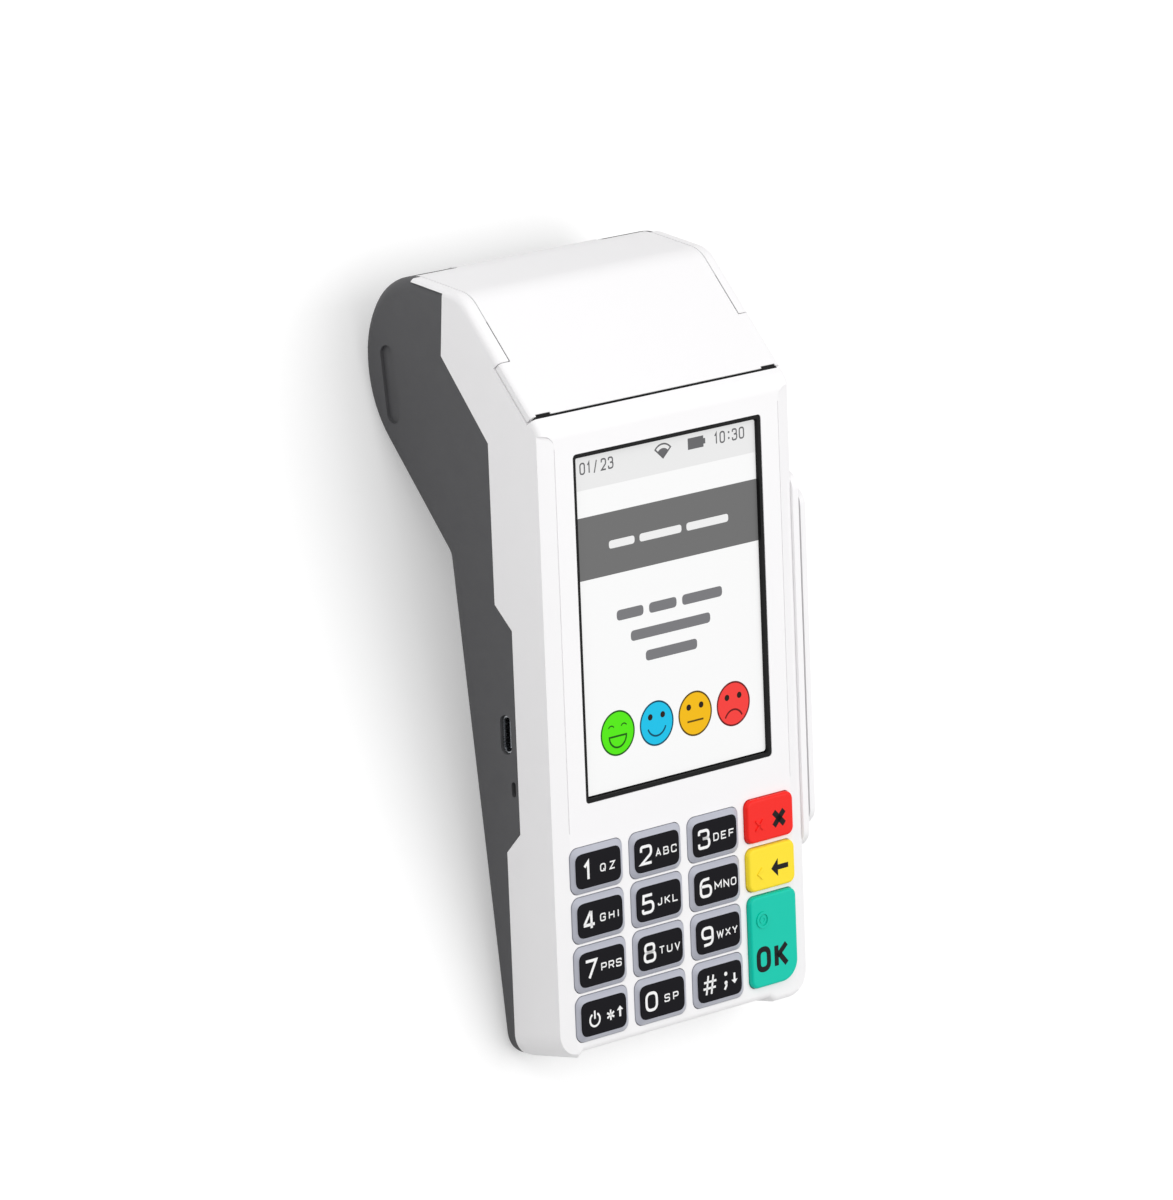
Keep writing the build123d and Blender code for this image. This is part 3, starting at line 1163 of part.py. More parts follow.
# Radio antenna flat on the left wall
radio_x = WALL - HALF
radio_antenna = block(radio_x, radio_x + RADIO_THICKNESS,
                      RADIO_Y - RADIO_LENGTH / 2, RADIO_Y + RADIO_LENGTH / 2,
                      RADIO_Z - RADIO_WIDTH / 2, RADIO_Z + RADIO_WIDTH / 2)

# Pin of the cover's hinge, held in both side walls
pin_reach = SHOULDER_HALF + HINGE_PIN_BITE
cover_hinge_pin = rod(*HINGE, HINGE_PIN_RADIUS, -pin_reach, pin_reach)

# Case screws and their bosses
case_screws = Part()
front_bosses = Part()
rear_bosses = Part()
screw_cuts = Part()
for from_side, y, split in SCREW_PLACES:
    for side in (-1, 1):
        x = side * (HALF - from_side)
        seat_z = split - SCREW_SEAT
        front_bosses += column(x, y, FRONT_BOSS_RADIUS, split, -WALL / 2)
        front_bosses -= column(x, y, SCREW_RADIUS, split - 1, split + SCREW_BITE + 1)
        rear_bosses += column(x, y, REAR_BOSS_RADIUS, -BIG, split - PARTING_GAP)
        screw_cuts += column(x, y, SCREW_RADIUS + SCREW_CLEARANCE, seat_z - 1, split + 1)
        screw_cuts += column(x, y, SCREW_HEAD_RADIUS + SCREW_HEAD_CLEARANCE, -BIG, seat_z)
        case_screws += column(x, y, SCREW_RADIUS, seat_z, split + SCREW_BITE)
        head = column(x, y, SCREW_HEAD_RADIUS, seat_z - SCREW_HEAD_HEIGHT, seat_z)
        for turn in (0, 90):
            head -= Pos(x, y, seat_z - SCREW_HEAD_HEIGHT) * Rot(0, 0, turn) * Box(2.2, 0.6, 1.2)
        case_screws += head

# Front housing
bevel_plan = rounded_face([
    ((BEVEL_X - 0.3, END_Y - 5), 0),
    ((HALF + 2, END_Y - 5), 0),
    ((HALF + 2, BEVEL_TOP_Y), 0),
    ((BEVEL_X - 0.3, BEVEL_TOP_Y), BEVEL_END_ROUND),
])
bevel_cut = extrude(Pos(0, 0, -5) * bevel_plan, amount=10)
bevel_place = Location((BEVEL_X, 0, 0), (0, BEVEL_ANGLE, 0))
bevel_slab = bevel_place * Box(BIG, 2 * BIG, BIG, align=(Align.MIN, Align.CENTER, Align.MIN))
bevel_cut = bevel_cut & bevel_slab
groove_cut = block(BEVEL_X - GROOVE_WIDTH / 2, BEVEL_X + GROOVE_WIDTH / 2, GROOVE_BOTTOM_Y, GROOVE_TOP_Y,
                   -GROOVE_DEPTH, 1)
front_housing = (front_case & front_space) - cavity
front_housing -= cover_cut
for cutter in (bevel_cut, groove_cut):
    front_housing -= cutter
    front_housing -= mirror(cutter, Plane.YZ)
front_housing += front_bosses + board_posts + mag_posts
snap_top = board_top - BOARD_THICKNESS - SNAP_CLEARANCE
for side in (-1, 1):
    for y in (pad_bottom_y + SNAP_FROM_BOTTOM, pad_top_y - SNAP_FROM_TOP):
        front_housing += block(side * (HALF - WALL / 2), side * (pad_half - 1.2), y - SNAP_LENGTH / 2,
                               y + SNAP_LENGTH / 2, snap_top - SNAP_HEIGHT, snap_top)
front_housing -= plate(0, 0, SCREEN_WIDTH, SCREEN_HEIGHT, SCREEN_CORNER, lens_top - 1, 1)
front_housing -= plate(0, 0, lens_width + 2 * LENS_CLEARANCE, lens_height + 2 * LENS_CLEARANCE,
                       SCREEN_CORNER, -WALL - 1, lens_top)
front_housing -= key_holes & block(-BIG, BIG, -BIG, 0, -WALL - 1, 3)
front_housing -= card_cut + mag_window

# Rear housing
rear_shell = rear_case - rear_cutter - cavity
rear_fill = rear_bosses
for side in (-1, 1):
    rear_fill += column(side * post_x, FRAME_TAB_Y, FRAME_POST_RADIUS, -BIG, FRAME_TAB_Z - FRAME_THICKNESS)
    for y in READER_POSTS_Y:
        x = CARD_X + side * READER_POSTS_X
        rear_fill += block(x - READER_POST / 2, x + READER_POST / 2,
                           y - READER_POST / 2, y + READER_POST / 2, -BIG, READER_BOTTOM_Z)
    bay_rib = block(side * BAY_RIB_X - BAY_RIB_THICKNESS / 2, side * BAY_RIB_X + BAY_RIB_THICKNESS / 2,
                    BAY_Y - BAY_RIB_LENGTH / 2, BAY_Y + BAY_RIB_LENGTH / 2,
                    -BIG, BAY_Z - bay_outer + BAY_RIB_HEIGHT)
    rear_fill += bay_rib - rod(*BAY_CENTRE, bay_outer, -BIG, BIG)
rear_housing = rear_shell + (rear_fill & rear_case)
rear_housing += REAR * battery_ribs
rear_housing -= cover_cut
rear_housing -= screw_cuts
rear_housing -= REAR * opening
rear_housing -= REAR * speaker_holes
rear_housing -= port_cut + side_slot_cut + stake_holes
rear_housing -= cover_hinge_pin
for side in (-1, 1):
    rear_housing -= column(side * post_x, FRAME_TAB_Y, SMALL_SCREW_RADIUS,
                           FRAME_TAB_Z - PRINTER_SCREW_LENGTH - 1, FRAME_TAB_Z + 1)
    grip = Pos(side * HALF, 0, 0) * Pos(0, GRIP_Y, GRIP_Z) * Rot(GRIP_TILT, 0, 0)
    slot = Plane.YZ * RectangleRounded(GRIP_LENGTH, GRIP_WIDTH, GRIP_WIDTH / 2 - 0.05)
    rear_housing -= grip * extrude(slot, amount=GRIP_DEPTH, both=True)

# Lying frame: the terminal is tilted until its bulge and its bottom end both touch the surface
ramp_turn = RAMP_END[0] + BULGE_RAMP_ROUND * tangent(BULGE_RAMP_ANGLE / 2)
ARC_CENTRE = (ramp_turn, -BULGE_DEPTH + BULGE_RAMP_ROUND)
END_CENTRE = meet(step(NECK, 90 - REAR_ANGLE, END_REAR_ROUND), -REAR_ANGLE,
                  step((END_Y, 0), -END_LEAN, END_REAR_ROUND), 90 - END_LEAN)
span = math.hypot(ARC_CENTRE[0] - END_CENTRE[0], ARC_CENTRE[1] - END_CENTRE[1])
centre_line = math.degrees(math.atan2(END_CENTRE[1] - ARC_CENTRE[1], ARC_CENTRE[0] - END_CENTRE[0]))
TILT = centre_line + math.degrees(math.asin((BULGE_RAMP_ROUND - END_REAR_ROUND) / span))
front_box = (Rot(TILT, 0, 0) * front_housing).bounding_box()
rear_box = (Rot(TILT, 0, 0) * rear_housing).bounding_box()
low_y = min(front_box.min.Y, rear_box.min.Y)
high_y = max(front_box.max.Y, rear_box.max.Y)
middle_x = (swipe_outer - HALF) / 2
middle_y = (low_y + high_y) / 2
LYING = Pos(-middle_x, -middle_y, FOOT_HEIGHT - rear_box.min.Z) * Rot(TILT, 0, 0)


def lying_point(x, y, z):
    """A case-frame point in the lying frame."""
    return (LYING * Pos(x, y, z)).position


def lying_direction(x, y, z):
    """A case-frame direction in the lying frame."""
    return lying_point(x, y, z) - lying_point(0, 0, 0)


# Rubber feet in flat-topped pockets
lying_rear = LYING * rear_housing
bulge_foot_y = lying_point(0, BULGE_FOOT_Y, -BULGE_DEPTH).Y
end_foot_y = low_y - middle_y + FOOT_Y_FROM_END
rubber_feet = Part()
for side in (-1, 1):
    for foot_y, seat in ((bulge_foot_y, BULGE_FOOT_SEAT), (end_foot_y, END_FOOT_SEAT)):
        x = side * (HALF - FOOT_FROM_SIDE) - middle_x
        lying_rear -= column(x, foot_y, FOOT_RADIUS, -1, FOOT_HEIGHT + seat)
        rubber_feet += column(x, foot_y, FOOT_RADIUS, 0, FOOT_HEIGHT + seat)

pieces = {
    "front_housing": front_housing,
    "swipe_guide": swipe_guide,
    "screen_lens": screen_lens,
    "screen_gasket": screen_gasket,
    "display_panel": display_panel,
    "contactless_antenna": contactless_antenna,
    "keypad_membrane": keypad_membrane,
    "keypad_board": keypad_board,
    "main_board": main_board,
    "board_parts": board_parts,
    "board_screws": board_screws,
    "coin_cell": coin_cell,
    "usb_socket": usb_socket,
    "card_reader": card_reader,
    "magnetic_head": magnetic_head,
    "magnetic_head_spring": magnetic_head_spring,
    "battery_pack": REAR * battery_pack,
    "battery_cover": REAR * battery_cover,
    "battery_latch": REAR * battery_latch,
    "battery_latch_spring": REAR * battery_latch_spring,
    "battery_contacts": battery_contacts,
    "speaker": REAR * speaker,
    "radio_antenna": radio_antenna,
    "case_screws": case_screws,
    "printer_frame": printer_frame,
    "printer_screws": printer_screws,
    "print_head": print_head,
    "print_head_board": print_head_board,
    "head_pivot_pin": head_pivot_pin,
    "head_springs": head_springs,
    "stepper_motor": stepper_motor,
    "motor_pinion": motor_pinion,
    "idler_gear": idler_gear,
    "paper_bay": paper_bay,
    "paper_roll": paper_roll,
    "paper_core": paper_core,
    "paper_cover": paper_cover,
    "cover_hinge_pin": cover_hinge_pin,
    "tear_bar": tear_bar,
    "platen_shaft": platen_shaft,
    "platen_rubber": platen_rubber,
    "platen_gear": platen_gear,
    "platen_bushings": platen_bushings,
}
for name, (spot, solid) in keys.items():
    pieces[name] = spot * solid

lying = {name: LYING * solid for name, solid in pieces.items()}
lying["rear_housing"] = lying_rear
lying["rubber_feet"] = rubber_feet
for name, solid in lying.items():
    export_step(solid, f"parts/{name}.step")

# Axes and places that joints and mounts use
print(f"tilt {TILT:.3f}")
swipe_middle_y = (SWIPE_TOP_Y + SWIPE_BOTTOM_Y) / 2
for name, point in (("hinge", (0, *HINGE)), ("platen", (0, *PLATEN)), ("idler", (0, *IDLER)),
                    ("pinion", (0, *PINION)), ("roll", (0, *ROLL)), ("head_pivot", (0, *HEAD_PIVOT)),
                    ("usb", (-HALF, USB_Y, usb_z)),
                    ("card_slot", (CARD_X, end_at(CARD_SLOT_Z), CARD_SLOT_Z)),
                    ("swipe_slot", (swipe_inner - SWIPE_SLOT / 2, swipe_middle_y, SWIPE_FLOOR_Z)),
                    ("bay", (0, *BAY_CENTRE)), ("screen", (0, 0, 0))):
    place = lying_point(*point)
    print(f"{name} {place.X:.4f} {place.Y:.4f} {place.Z:.4f}")
battery_edge = (REAR * Pos(0, *BATTERY_HINGE)).position
place = lying_point(battery_edge.X, battery_edge.Y, battery_edge.Z)
print(f"battery_hinge {place.X:.4f} {place.Y:.4f} {place.Z:.4f}")
rear_up = (0, cosine(REAR_ANGLE), -sine(REAR_ANGLE))
for name, way in (("out", (0, 0, 1)), ("up", (0, 1, 0)), ("rear_up", rear_up)):
    unit = lying_direction(*way)
    print(f"{name} {unit.X:.6f} {unit.Y:.6f} {unit.Z:.6f}")
print(f"feet {HALF - FOOT_FROM_SIDE - middle_x:.4f} {bulge_foot_y:.4f} {end_foot_y:.4f}")
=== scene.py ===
"""Looks of a handheld survey terminal: finishes, screen page, key legends, a dark lip painted as shade
in the cover's slit, and lights.
"""

import json
import math

import bpy
from mathutils import Matrix, Vector


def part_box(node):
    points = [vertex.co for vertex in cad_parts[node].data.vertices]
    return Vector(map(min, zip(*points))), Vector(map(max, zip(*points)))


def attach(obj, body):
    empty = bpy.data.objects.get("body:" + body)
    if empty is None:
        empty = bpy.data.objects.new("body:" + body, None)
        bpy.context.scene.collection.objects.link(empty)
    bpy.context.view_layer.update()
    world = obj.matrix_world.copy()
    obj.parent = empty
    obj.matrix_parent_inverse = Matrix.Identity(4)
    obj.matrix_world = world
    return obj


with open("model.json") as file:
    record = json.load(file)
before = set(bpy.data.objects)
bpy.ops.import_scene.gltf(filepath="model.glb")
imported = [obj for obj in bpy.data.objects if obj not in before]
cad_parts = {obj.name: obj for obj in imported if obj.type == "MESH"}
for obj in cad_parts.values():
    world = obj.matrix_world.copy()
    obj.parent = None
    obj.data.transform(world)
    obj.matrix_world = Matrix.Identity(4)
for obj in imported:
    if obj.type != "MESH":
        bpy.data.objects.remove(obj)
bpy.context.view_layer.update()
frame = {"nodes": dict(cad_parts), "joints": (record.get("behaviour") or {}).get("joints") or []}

# Case frame: X across the front, Y up the front, Z out of it, millimetres from the screen's middle
MM_PER_METRE = 1000
GLASS_MIDDLE = -1.7
GLASS_FACE = -1.2
press_axis = next(joint["axis"] for joint in frame["joints"] if joint["name"] == "key_5_press")
out = -Vector(press_axis).normalized()
across = Vector((1, 0, 0))
along = out.cross(across)
glass_low, glass_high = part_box("screen_lens")
origin = (glass_low + glass_high) / 2 - out * GLASS_MIDDLE / MM_PER_METRE
turn = Matrix((across, along, out)).transposed().to_4x4()
CASE = Matrix.Translation(origin) @ turn @ Matrix.Scale(1 / MM_PER_METRE, 4)

WHITE = (1, 1, 1, 1)
# Grain sizes and bump depths of plastics, in metres
FINE_GRAIN = 0.00025
COARSE_GRAIN = 0.0004
SMOOTH = 0.000004
# Scale, detail and roughness of the smears on glass
SMEAR = (60, 5, 0.6)
# Lit screen: its own light, the two brightnesses of its pixel grid, pixels a metre and gloss
SCREEN_LIGHT = 0.5
PIXEL_SHADES = (0.44, 0.425)
PIXELS_PER_METRE = 9000
SCREEN_SHINE = 0.08


def linear(code):
    """Scene colour of an sRGB hex code."""
    values = []
    for place in (0, 2, 4):
        value = int(code[place:place + 2], 16) / 255
        values.append(value / 12.92 if value <= 0.04045 else ((value + 0.055) / 1.055) ** 2.4)
    return (*values, 1)


class Tree:
    """A node tree with short calls for its nodes and links."""

    def __init__(self, owner):
        owner.use_nodes = True
        self.tree = owner.node_tree
        self.tree.nodes.clear()

    def add(self, kind, **sockets):
        node = self.tree.nodes.new(kind)
        for name, value in sockets.items():
            node.inputs[name.replace("_", " ")].default_value = value
        return node

    def link(self, source, target):
        self.tree.links.new(source, target)


class Nodes(Tree):
    """The tree of a new material, with its textures, blends and shader."""

    def __init__(self, name):
        self.material = bpy.data.materials.new(name)
        super().__init__(self.material)
        self.output = self.add("ShaderNodeOutputMaterial")

    def coordinates(self, scale=(1, 1, 1)):
        where = self.add("ShaderNodeTexCoord")
        mapping = self.add("ShaderNodeMapping", Scale=scale)
        self.link(where.outputs["Object"], mapping.inputs["Vector"])
        return mapping.outputs["Vector"]

    def noise(self, per_metre, detail, roughness=0.5, vector=None):
        node = self.add("ShaderNodeTexNoise", Scale=per_metre, Detail=detail, Roughness=roughness)
        self.link(vector or self.coordinates(), node.inputs["Vector"])
        return node.outputs["Fac"]

    def spread(self, source, low, high, start=0.0, end=1.0):
        """Maps a value from start..end to low..high."""
        node = self.add("ShaderNodeMapRange", From_Min=start, From_Max=end, To_Min=low, To_Max=high)
        self.link(source, node.inputs["Value"])
        return node.outputs["Result"]

    def blend(self, factor, first, second):
        """Mixes two colours, given as colours or as outputs."""
        node = self.add("ShaderNodeMix")
        node.data_type = "RGBA"
        self.link(factor, node.inputs[0])
        for socket, value in ((node.inputs[6], first), (node.inputs[7], second)):
            if isinstance(value, bpy.types.NodeSocket):
                self.link(value, socket)
            else:
                socket.default_value = value
        return node.outputs[2]

    def bump(self, height, depth, under=None):
        """Bump of a height output; depth is in metres."""
        node = self.add("ShaderNodeBump", Strength=1.0, Distance=depth)
        self.link(height, node.inputs["Height"])
        if under is not None:
            self.link(under, node.inputs["Normal"])
        return node.outputs["Normal"]

    def surface(self, colour, roughness, metallic=0.0, normal=None, **more):
        shader = self.add("ShaderNodeBsdfPrincipled", Metallic=metallic, **more)
        for name, value in (("Base Color", colour), ("Roughness", roughness)):
            if isinstance(value, bpy.types.NodeSocket):
                self.link(value, shader.inputs[name])
            else:
                shader.inputs[name].default_value = value
        if normal is not None:
            self.link(normal, shader.inputs["Normal"])
        self.link(shader.outputs[0], self.output.inputs["Surface"])
        return self.material


def shade(colour, factor):
    """Lighter or darker colour."""
    return (*(min(1.0, value * factor) for value in colour[:3]), 1)


def moulded(name, code, roughness, grain=FINE_GRAIN, depth=0.00001, drift=0.03, coat=0.0, shine=0.5):
    """Moulded plastic: fine grain, slow colour drift and uneven gloss."""
    nodes = Nodes(name)
    colour = linear(code)
    slow = nodes.noise(30, 3)
    fine = nodes.noise(1 / grain, 3, 0.6)
    tint = nodes.blend(slow, shade(colour, 1 - drift), shade(colour, 1 + drift))
    gloss = nodes.spread(nodes.noise(220, 4), roughness - 0.06, roughness + 0.06, 0.3, 0.7)
    normal = nodes.bump(fine, depth)
    return nodes.surface(
        tint, gloss, normal=normal, Coat_Weight=coat, Coat_Roughness=0.2, Specular_IOR_Level=shine,
    )


def metal(name, code, roughness, streaks=(1, 1, 1)):
    """Metal with a fine grain, drawn out into streaks where the scales differ."""
    nodes = Nodes(name)
    colour = linear(code)
    lines = nodes.noise(900, 4, 0.65, nodes.coordinates(streaks))
    tint = nodes.blend(lines, shade(colour, 0.85), shade(colour, 1.08))
    gloss = nodes.spread(lines, roughness - 0.08, roughness + 0.12, 0.25, 0.75)
    return nodes.surface(tint, gloss, metallic=1.0, normal=nodes.bump(lines, 0.000008))


def rubber(name, code, roughness=0.75, shine=0.5):
    """Soft rubber with a fine speckle."""
    nodes = Nodes(name)
    colour = linear(code)
    speck = nodes.noise(3500, 3, 0.7)
    tint = nodes.blend(speck, shade(colour, 0.8), shade(colour, 1.25))
    return nodes.surface(tint, roughness, normal=nodes.bump(speck, 0.00002), Specular_IOR_Level=shine)


def circuit_board():
    """Green solder mask with copper runs and pads showing through it."""
    nodes = Nodes("solder_mask")
    where = nodes.coordinates((520, 520, 520))
    bricks = nodes.add("ShaderNodeTexBrick", Scale=1.0, Mortar_Size=0.06)
    nodes.link(where, bricks.inputs["Vector"])
    cells = nodes.add("ShaderNodeTexVoronoi", Scale=380)
    nodes.link(nodes.coordinates(), cells.inputs["Vector"])
    pads = nodes.spread(cells.outputs["Distance"], 1, 0, 0.1, 0.13)
    mask = nodes.blend(bricks.outputs["Fac"], linear("0d5b34"), linear("1d7a48"))
    tint = nodes.blend(pads, mask, linear("c9a45c"))
    relief = nodes.bump(bricks.outputs["Fac"], 0.00002)
    return nodes.surface(tint, 0.35, normal=relief, Coat_Weight=0.4)


def paper_end():
    """Wound paper: white, with the turns' edges as fine rings about the roll's axis."""
    low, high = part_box("paper_roll")
    middle = (low + high) / 2
    nodes = Nodes("thermal_paper")
    where = nodes.add("ShaderNodeTexCoord")
    shift = nodes.add("ShaderNodeMapping", Location=(0, -middle.y, -middle.z))
    nodes.link(where.outputs["Object"], shift.inputs["Vector"])
    split = nodes.add("ShaderNodeSeparateXYZ")
    nodes.link(shift.outputs["Vector"], split.inputs["Vector"])
    flat = nodes.add("ShaderNodeCombineXYZ")
    nodes.link(split.outputs["Y"], flat.inputs["X"])
    nodes.link(split.outputs["Z"], flat.inputs["Y"])
    rings = nodes.add("ShaderNodeTexWave", Scale=700, Distortion=0.6)
    rings.wave_type = "RINGS"
    rings.rings_direction = "Z"
    nodes.link(flat.outputs["Vector"], rings.inputs["Vector"])
    fibre = nodes.noise(1800, 4, 0.7)
    tint = nodes.blend(rings.outputs["Fac"], linear("dcdad4"), linear("f2f0ea"))
    height = nodes.bump(fibre, 0.000006, under=nodes.bump(rings.outputs["Fac"], 0.00003))
    return nodes.surface(tint, 0.7, normal=height)


def coil_film():
    """Amber film with the copper turns of a flat coil."""
    nodes = Nodes("coil_film")
    waves = nodes.add("ShaderNodeTexWave", Scale=160)
    nodes.link(nodes.coordinates(), waves.inputs["Vector"])
    turns = nodes.spread(waves.outputs["Fac"], 0, 1, 0.45, 0.55)
    tint = nodes.blend(turns, linear("8a5a1c"), linear("c98a4b"))
    return nodes.surface(tint, 0.35, metallic=0.3, normal=nodes.bump(turns, 0.00003))


def glass_face():
    """Dark border of the screen's glass."""
    nodes = Nodes("screen_glass")
    gloss = nodes.spread(nodes.noise(*SMEAR), 0.12, 0.2)
    return nodes.surface(linear("060607"), gloss, Specular_IOR_Level=0.25)


def shown(name, code):
    """Colour of a lit screen: half its own light, half the room's, with its pixels as a faint grid."""
    nodes = Nodes("page_" + name)
    colour = linear(code)
    first, second = (shade(colour, level) for level in PIXEL_SHADES)
    grid = nodes.add("ShaderNodeTexChecker", Scale=PIXELS_PER_METRE, Color1=first, Color2=second)
    nodes.link(nodes.coordinates(), grid.inputs["Vector"])
    gloss = nodes.spread(nodes.noise(*SMEAR), 0.3, 0.4)
    return nodes.surface(
        grid.outputs["Color"], gloss, Emission_Color=colour, Emission_Strength=SCREEN_LIGHT,
        Specular_IOR_Level=SCREEN_SHINE,
    )


def printed(name, code, roughness=0.5, shine=0.5):
    """Printed ink or hard film, with a slight unevenness."""
    nodes = Nodes("print_" + name)
    colour = linear(code)
    patch = nodes.noise(2500, 3)
    tint = nodes.blend(patch, shade(colour, 0.93), shade(colour, 1.04))
    gloss = nodes.spread(patch, roughness - 0.05, roughness + 0.08)
    return nodes.surface(tint, gloss, normal=nodes.bump(patch, 0.000004), Specular_IOR_Level=shine)


white = moulded("white_shell", "f4f3f4", 0.42, drift=0.006, depth=SMOOTH, shine=0.4)
cover_white = moulded("white_cover", "f3f2f3", 0.5, drift=0.006, depth=SMOOTH, shine=0.15)
dark = moulded("dark_shell", "545456", 0.55, grain=COARSE_GRAIN, depth=0.00002, drift=0.05, shine=0.35)
black = moulded("black_moulding", "232326", 0.5, grain=COARSE_GRAIN)
key_grey = moulded("key_grey", "b3b5c0", 0.4, drift=0.02, depth=SMOOTH)
board = circuit_board()
steel = metal("bright_steel", "b8b9bb", 0.28, (1, 8, 1))
plated = metal("zinc_plate", "a9a9a8", 0.38, (6, 1, 1))
FINISHES = {
    "front_housing": white,
    "paper_cover": cover_white,
    "swipe_guide": white,
    "rear_housing": dark,
    "battery_cover": dark,
    "battery_latch": dark,
    "screen_lens": glass_face(),
    "screen_gasket": rubber("gasket_rubber", "0c0c0d", 0.7, 0.25),
    "display_panel": metal("panel_back", "9fa3a6", 0.35),
    "contactless_antenna": coil_film(),
    "keypad_membrane": rubber("silicone_pad", "9b9ea4", 0.6),
    "keypad_board": board,
    "main_board": board,
    "board_parts": metal("tinned_can", "c3c4c2", 0.3, (5, 1, 1)),
    "board_screws": steel,
    "coin_cell": metal("cell_case", "c9c9c6", 0.25),
    "usb_socket": metal("socket_shell", "b9bcc0", 0.25, (1, 6, 1)),
    "card_reader": black,
    "magnetic_head": metal("head_case", "c6c7c8", 0.22),
    "magnetic_head_spring": steel,
    "battery_pack": moulded("battery_wrap", "2c2d31", 0.35, drift=0.04, coat=0.3),
    "battery_latch_spring": steel,
    "battery_contacts": metal("gold_contact", "d8ae5c", 0.25, (1, 1, 6)),
    "speaker": moulded("speaker_cone", "1b1b1d", 0.7),
    "radio_antenna": coil_film(),
    "case_screws": metal("blackened_screw", "3a3a3c", 0.35),
    "printer_frame": plated,
    "printer_screws": steel,
    "print_head": metal("cast_sink", "b4b5b8", 0.4),
    "print_head_board": moulded("glazed_ceramic", "ddd6c6", 0.25, drift=0.02, coat=0.5),
    "head_pivot_pin": steel,
    "head_springs": steel,
    "stepper_motor": metal("motor_can", "a5a7a9", 0.3, (4, 1, 1)),
    "motor_pinion": metal("pinion_brass", "cfa95a", 0.3),
    "idler_gear": moulded("acetal_gear", "e4e1d8", 0.4),
    "platen_gear": moulded("acetal_gear_dark", "3b3c40", 0.4),
    "paper_bay": black,
    "paper_roll": paper_end(),
    "paper_core": moulded("core_plastic", "4a5a74", 0.45),
    "cover_hinge_pin": steel,
    "tear_bar": metal("tear_steel", "c2c3c5", 0.25, (1, 8, 8)),
    "platen_shaft": steel,
    "platen_rubber": rubber("platen_rubber", "2a2a2d", 0.55),
    "platen_bushings": moulded("bushing_plastic", "29292c", 0.4),
    "rubber_feet": rubber("foot_rubber", "1c1c1e", 0.8),
    "key_cancel": moulded("key_red", "f5241c", 0.42, drift=0.02, depth=SMOOTH, shine=0.2),
    "key_clear": moulded("key_yellow", "fbe030", 0.42, drift=0.02, depth=SMOOTH, shine=0.2),
    "key_ok": moulded("key_green", "00c6ac", 0.42, drift=0.02, depth=SMOOTH, shine=0.2),
}
# The number keys aren't listed: their bodies are grey
for name, node in frame["nodes"].items():
    node.data.materials.clear()
    node.data.materials.append(FINISHES.get(name, key_grey))


# Flat shapes, in millimetres
TINY = 1e-6
CORNER_STEPS = 6
STRAIGHT = math.pi - 0.02
# A corner takes less than half of each side, so two corners never meet
CORNER_SHARE = 0.49
# Least cosines that a mitre is divided by, which keep sharp corners short
STROKE_MITRE = 0.35
EDGE_MITRE = 0.5


def soften(points, radius, closed=False):
    """Rounds a path's corners; radius is one size or one for each corner."""
    result = []
    count = len(points)
    for index, point in enumerate(points):
        corner = Vector(point)
        size = radius[index] if isinstance(radius, (list, tuple)) else radius
        if size <= 0 or (not closed and index in (0, count - 1)):
            result.append(tuple(corner))
            continue
        before = Vector(points[index - 1]) - corner
        after = Vector(points[(index + 1) % count]) - corner
        angle = before.angle(after)
        if angle > STRAIGHT:
            result.append(tuple(corner))
            continue
        reach = min(
            size / math.tan(angle / 2), before.length * CORNER_SHARE, after.length * CORNER_SHARE,
        )
        start = corner + before.normalized() * reach
        end = corner + after.normalized() * reach
        for step in range(CORNER_STEPS + 1):
            t = step / CORNER_STEPS
            spot = start * (1 - t) ** 2 + corner * 2 * t * (1 - t) + end * t ** 2
            result.append(tuple(spot))
    return result


def circle(x, y, radius, steps):
    turns = [2 * math.pi * i / steps for i in range(steps)]
    return [(x + radius * math.cos(angle), y + radius * math.sin(angle)) for angle in turns]


def arc(x, y, radius, start, end, steps=16):
    """Points along an arc, in degrees."""
    points = []
    for i in range(steps + 1):
        angle = math.radians(start + (end - start) * i / steps)
        points.append((x + radius * math.cos(angle), y + radius * math.sin(angle)))
    return points


def rectangle(x0, x1, y0, y1, radius=0.0):
    corners = [(x0, y0), (x1, y0), (x1, y1), (x0, y1)]
    return soften(corners, radius, True) if radius else corners


def add_object(name, data):
    """New object, linked to the scene."""
    obj = bpy.data.objects.new(name, data)
    bpy.context.scene.collection.objects.link(obj)
    return obj


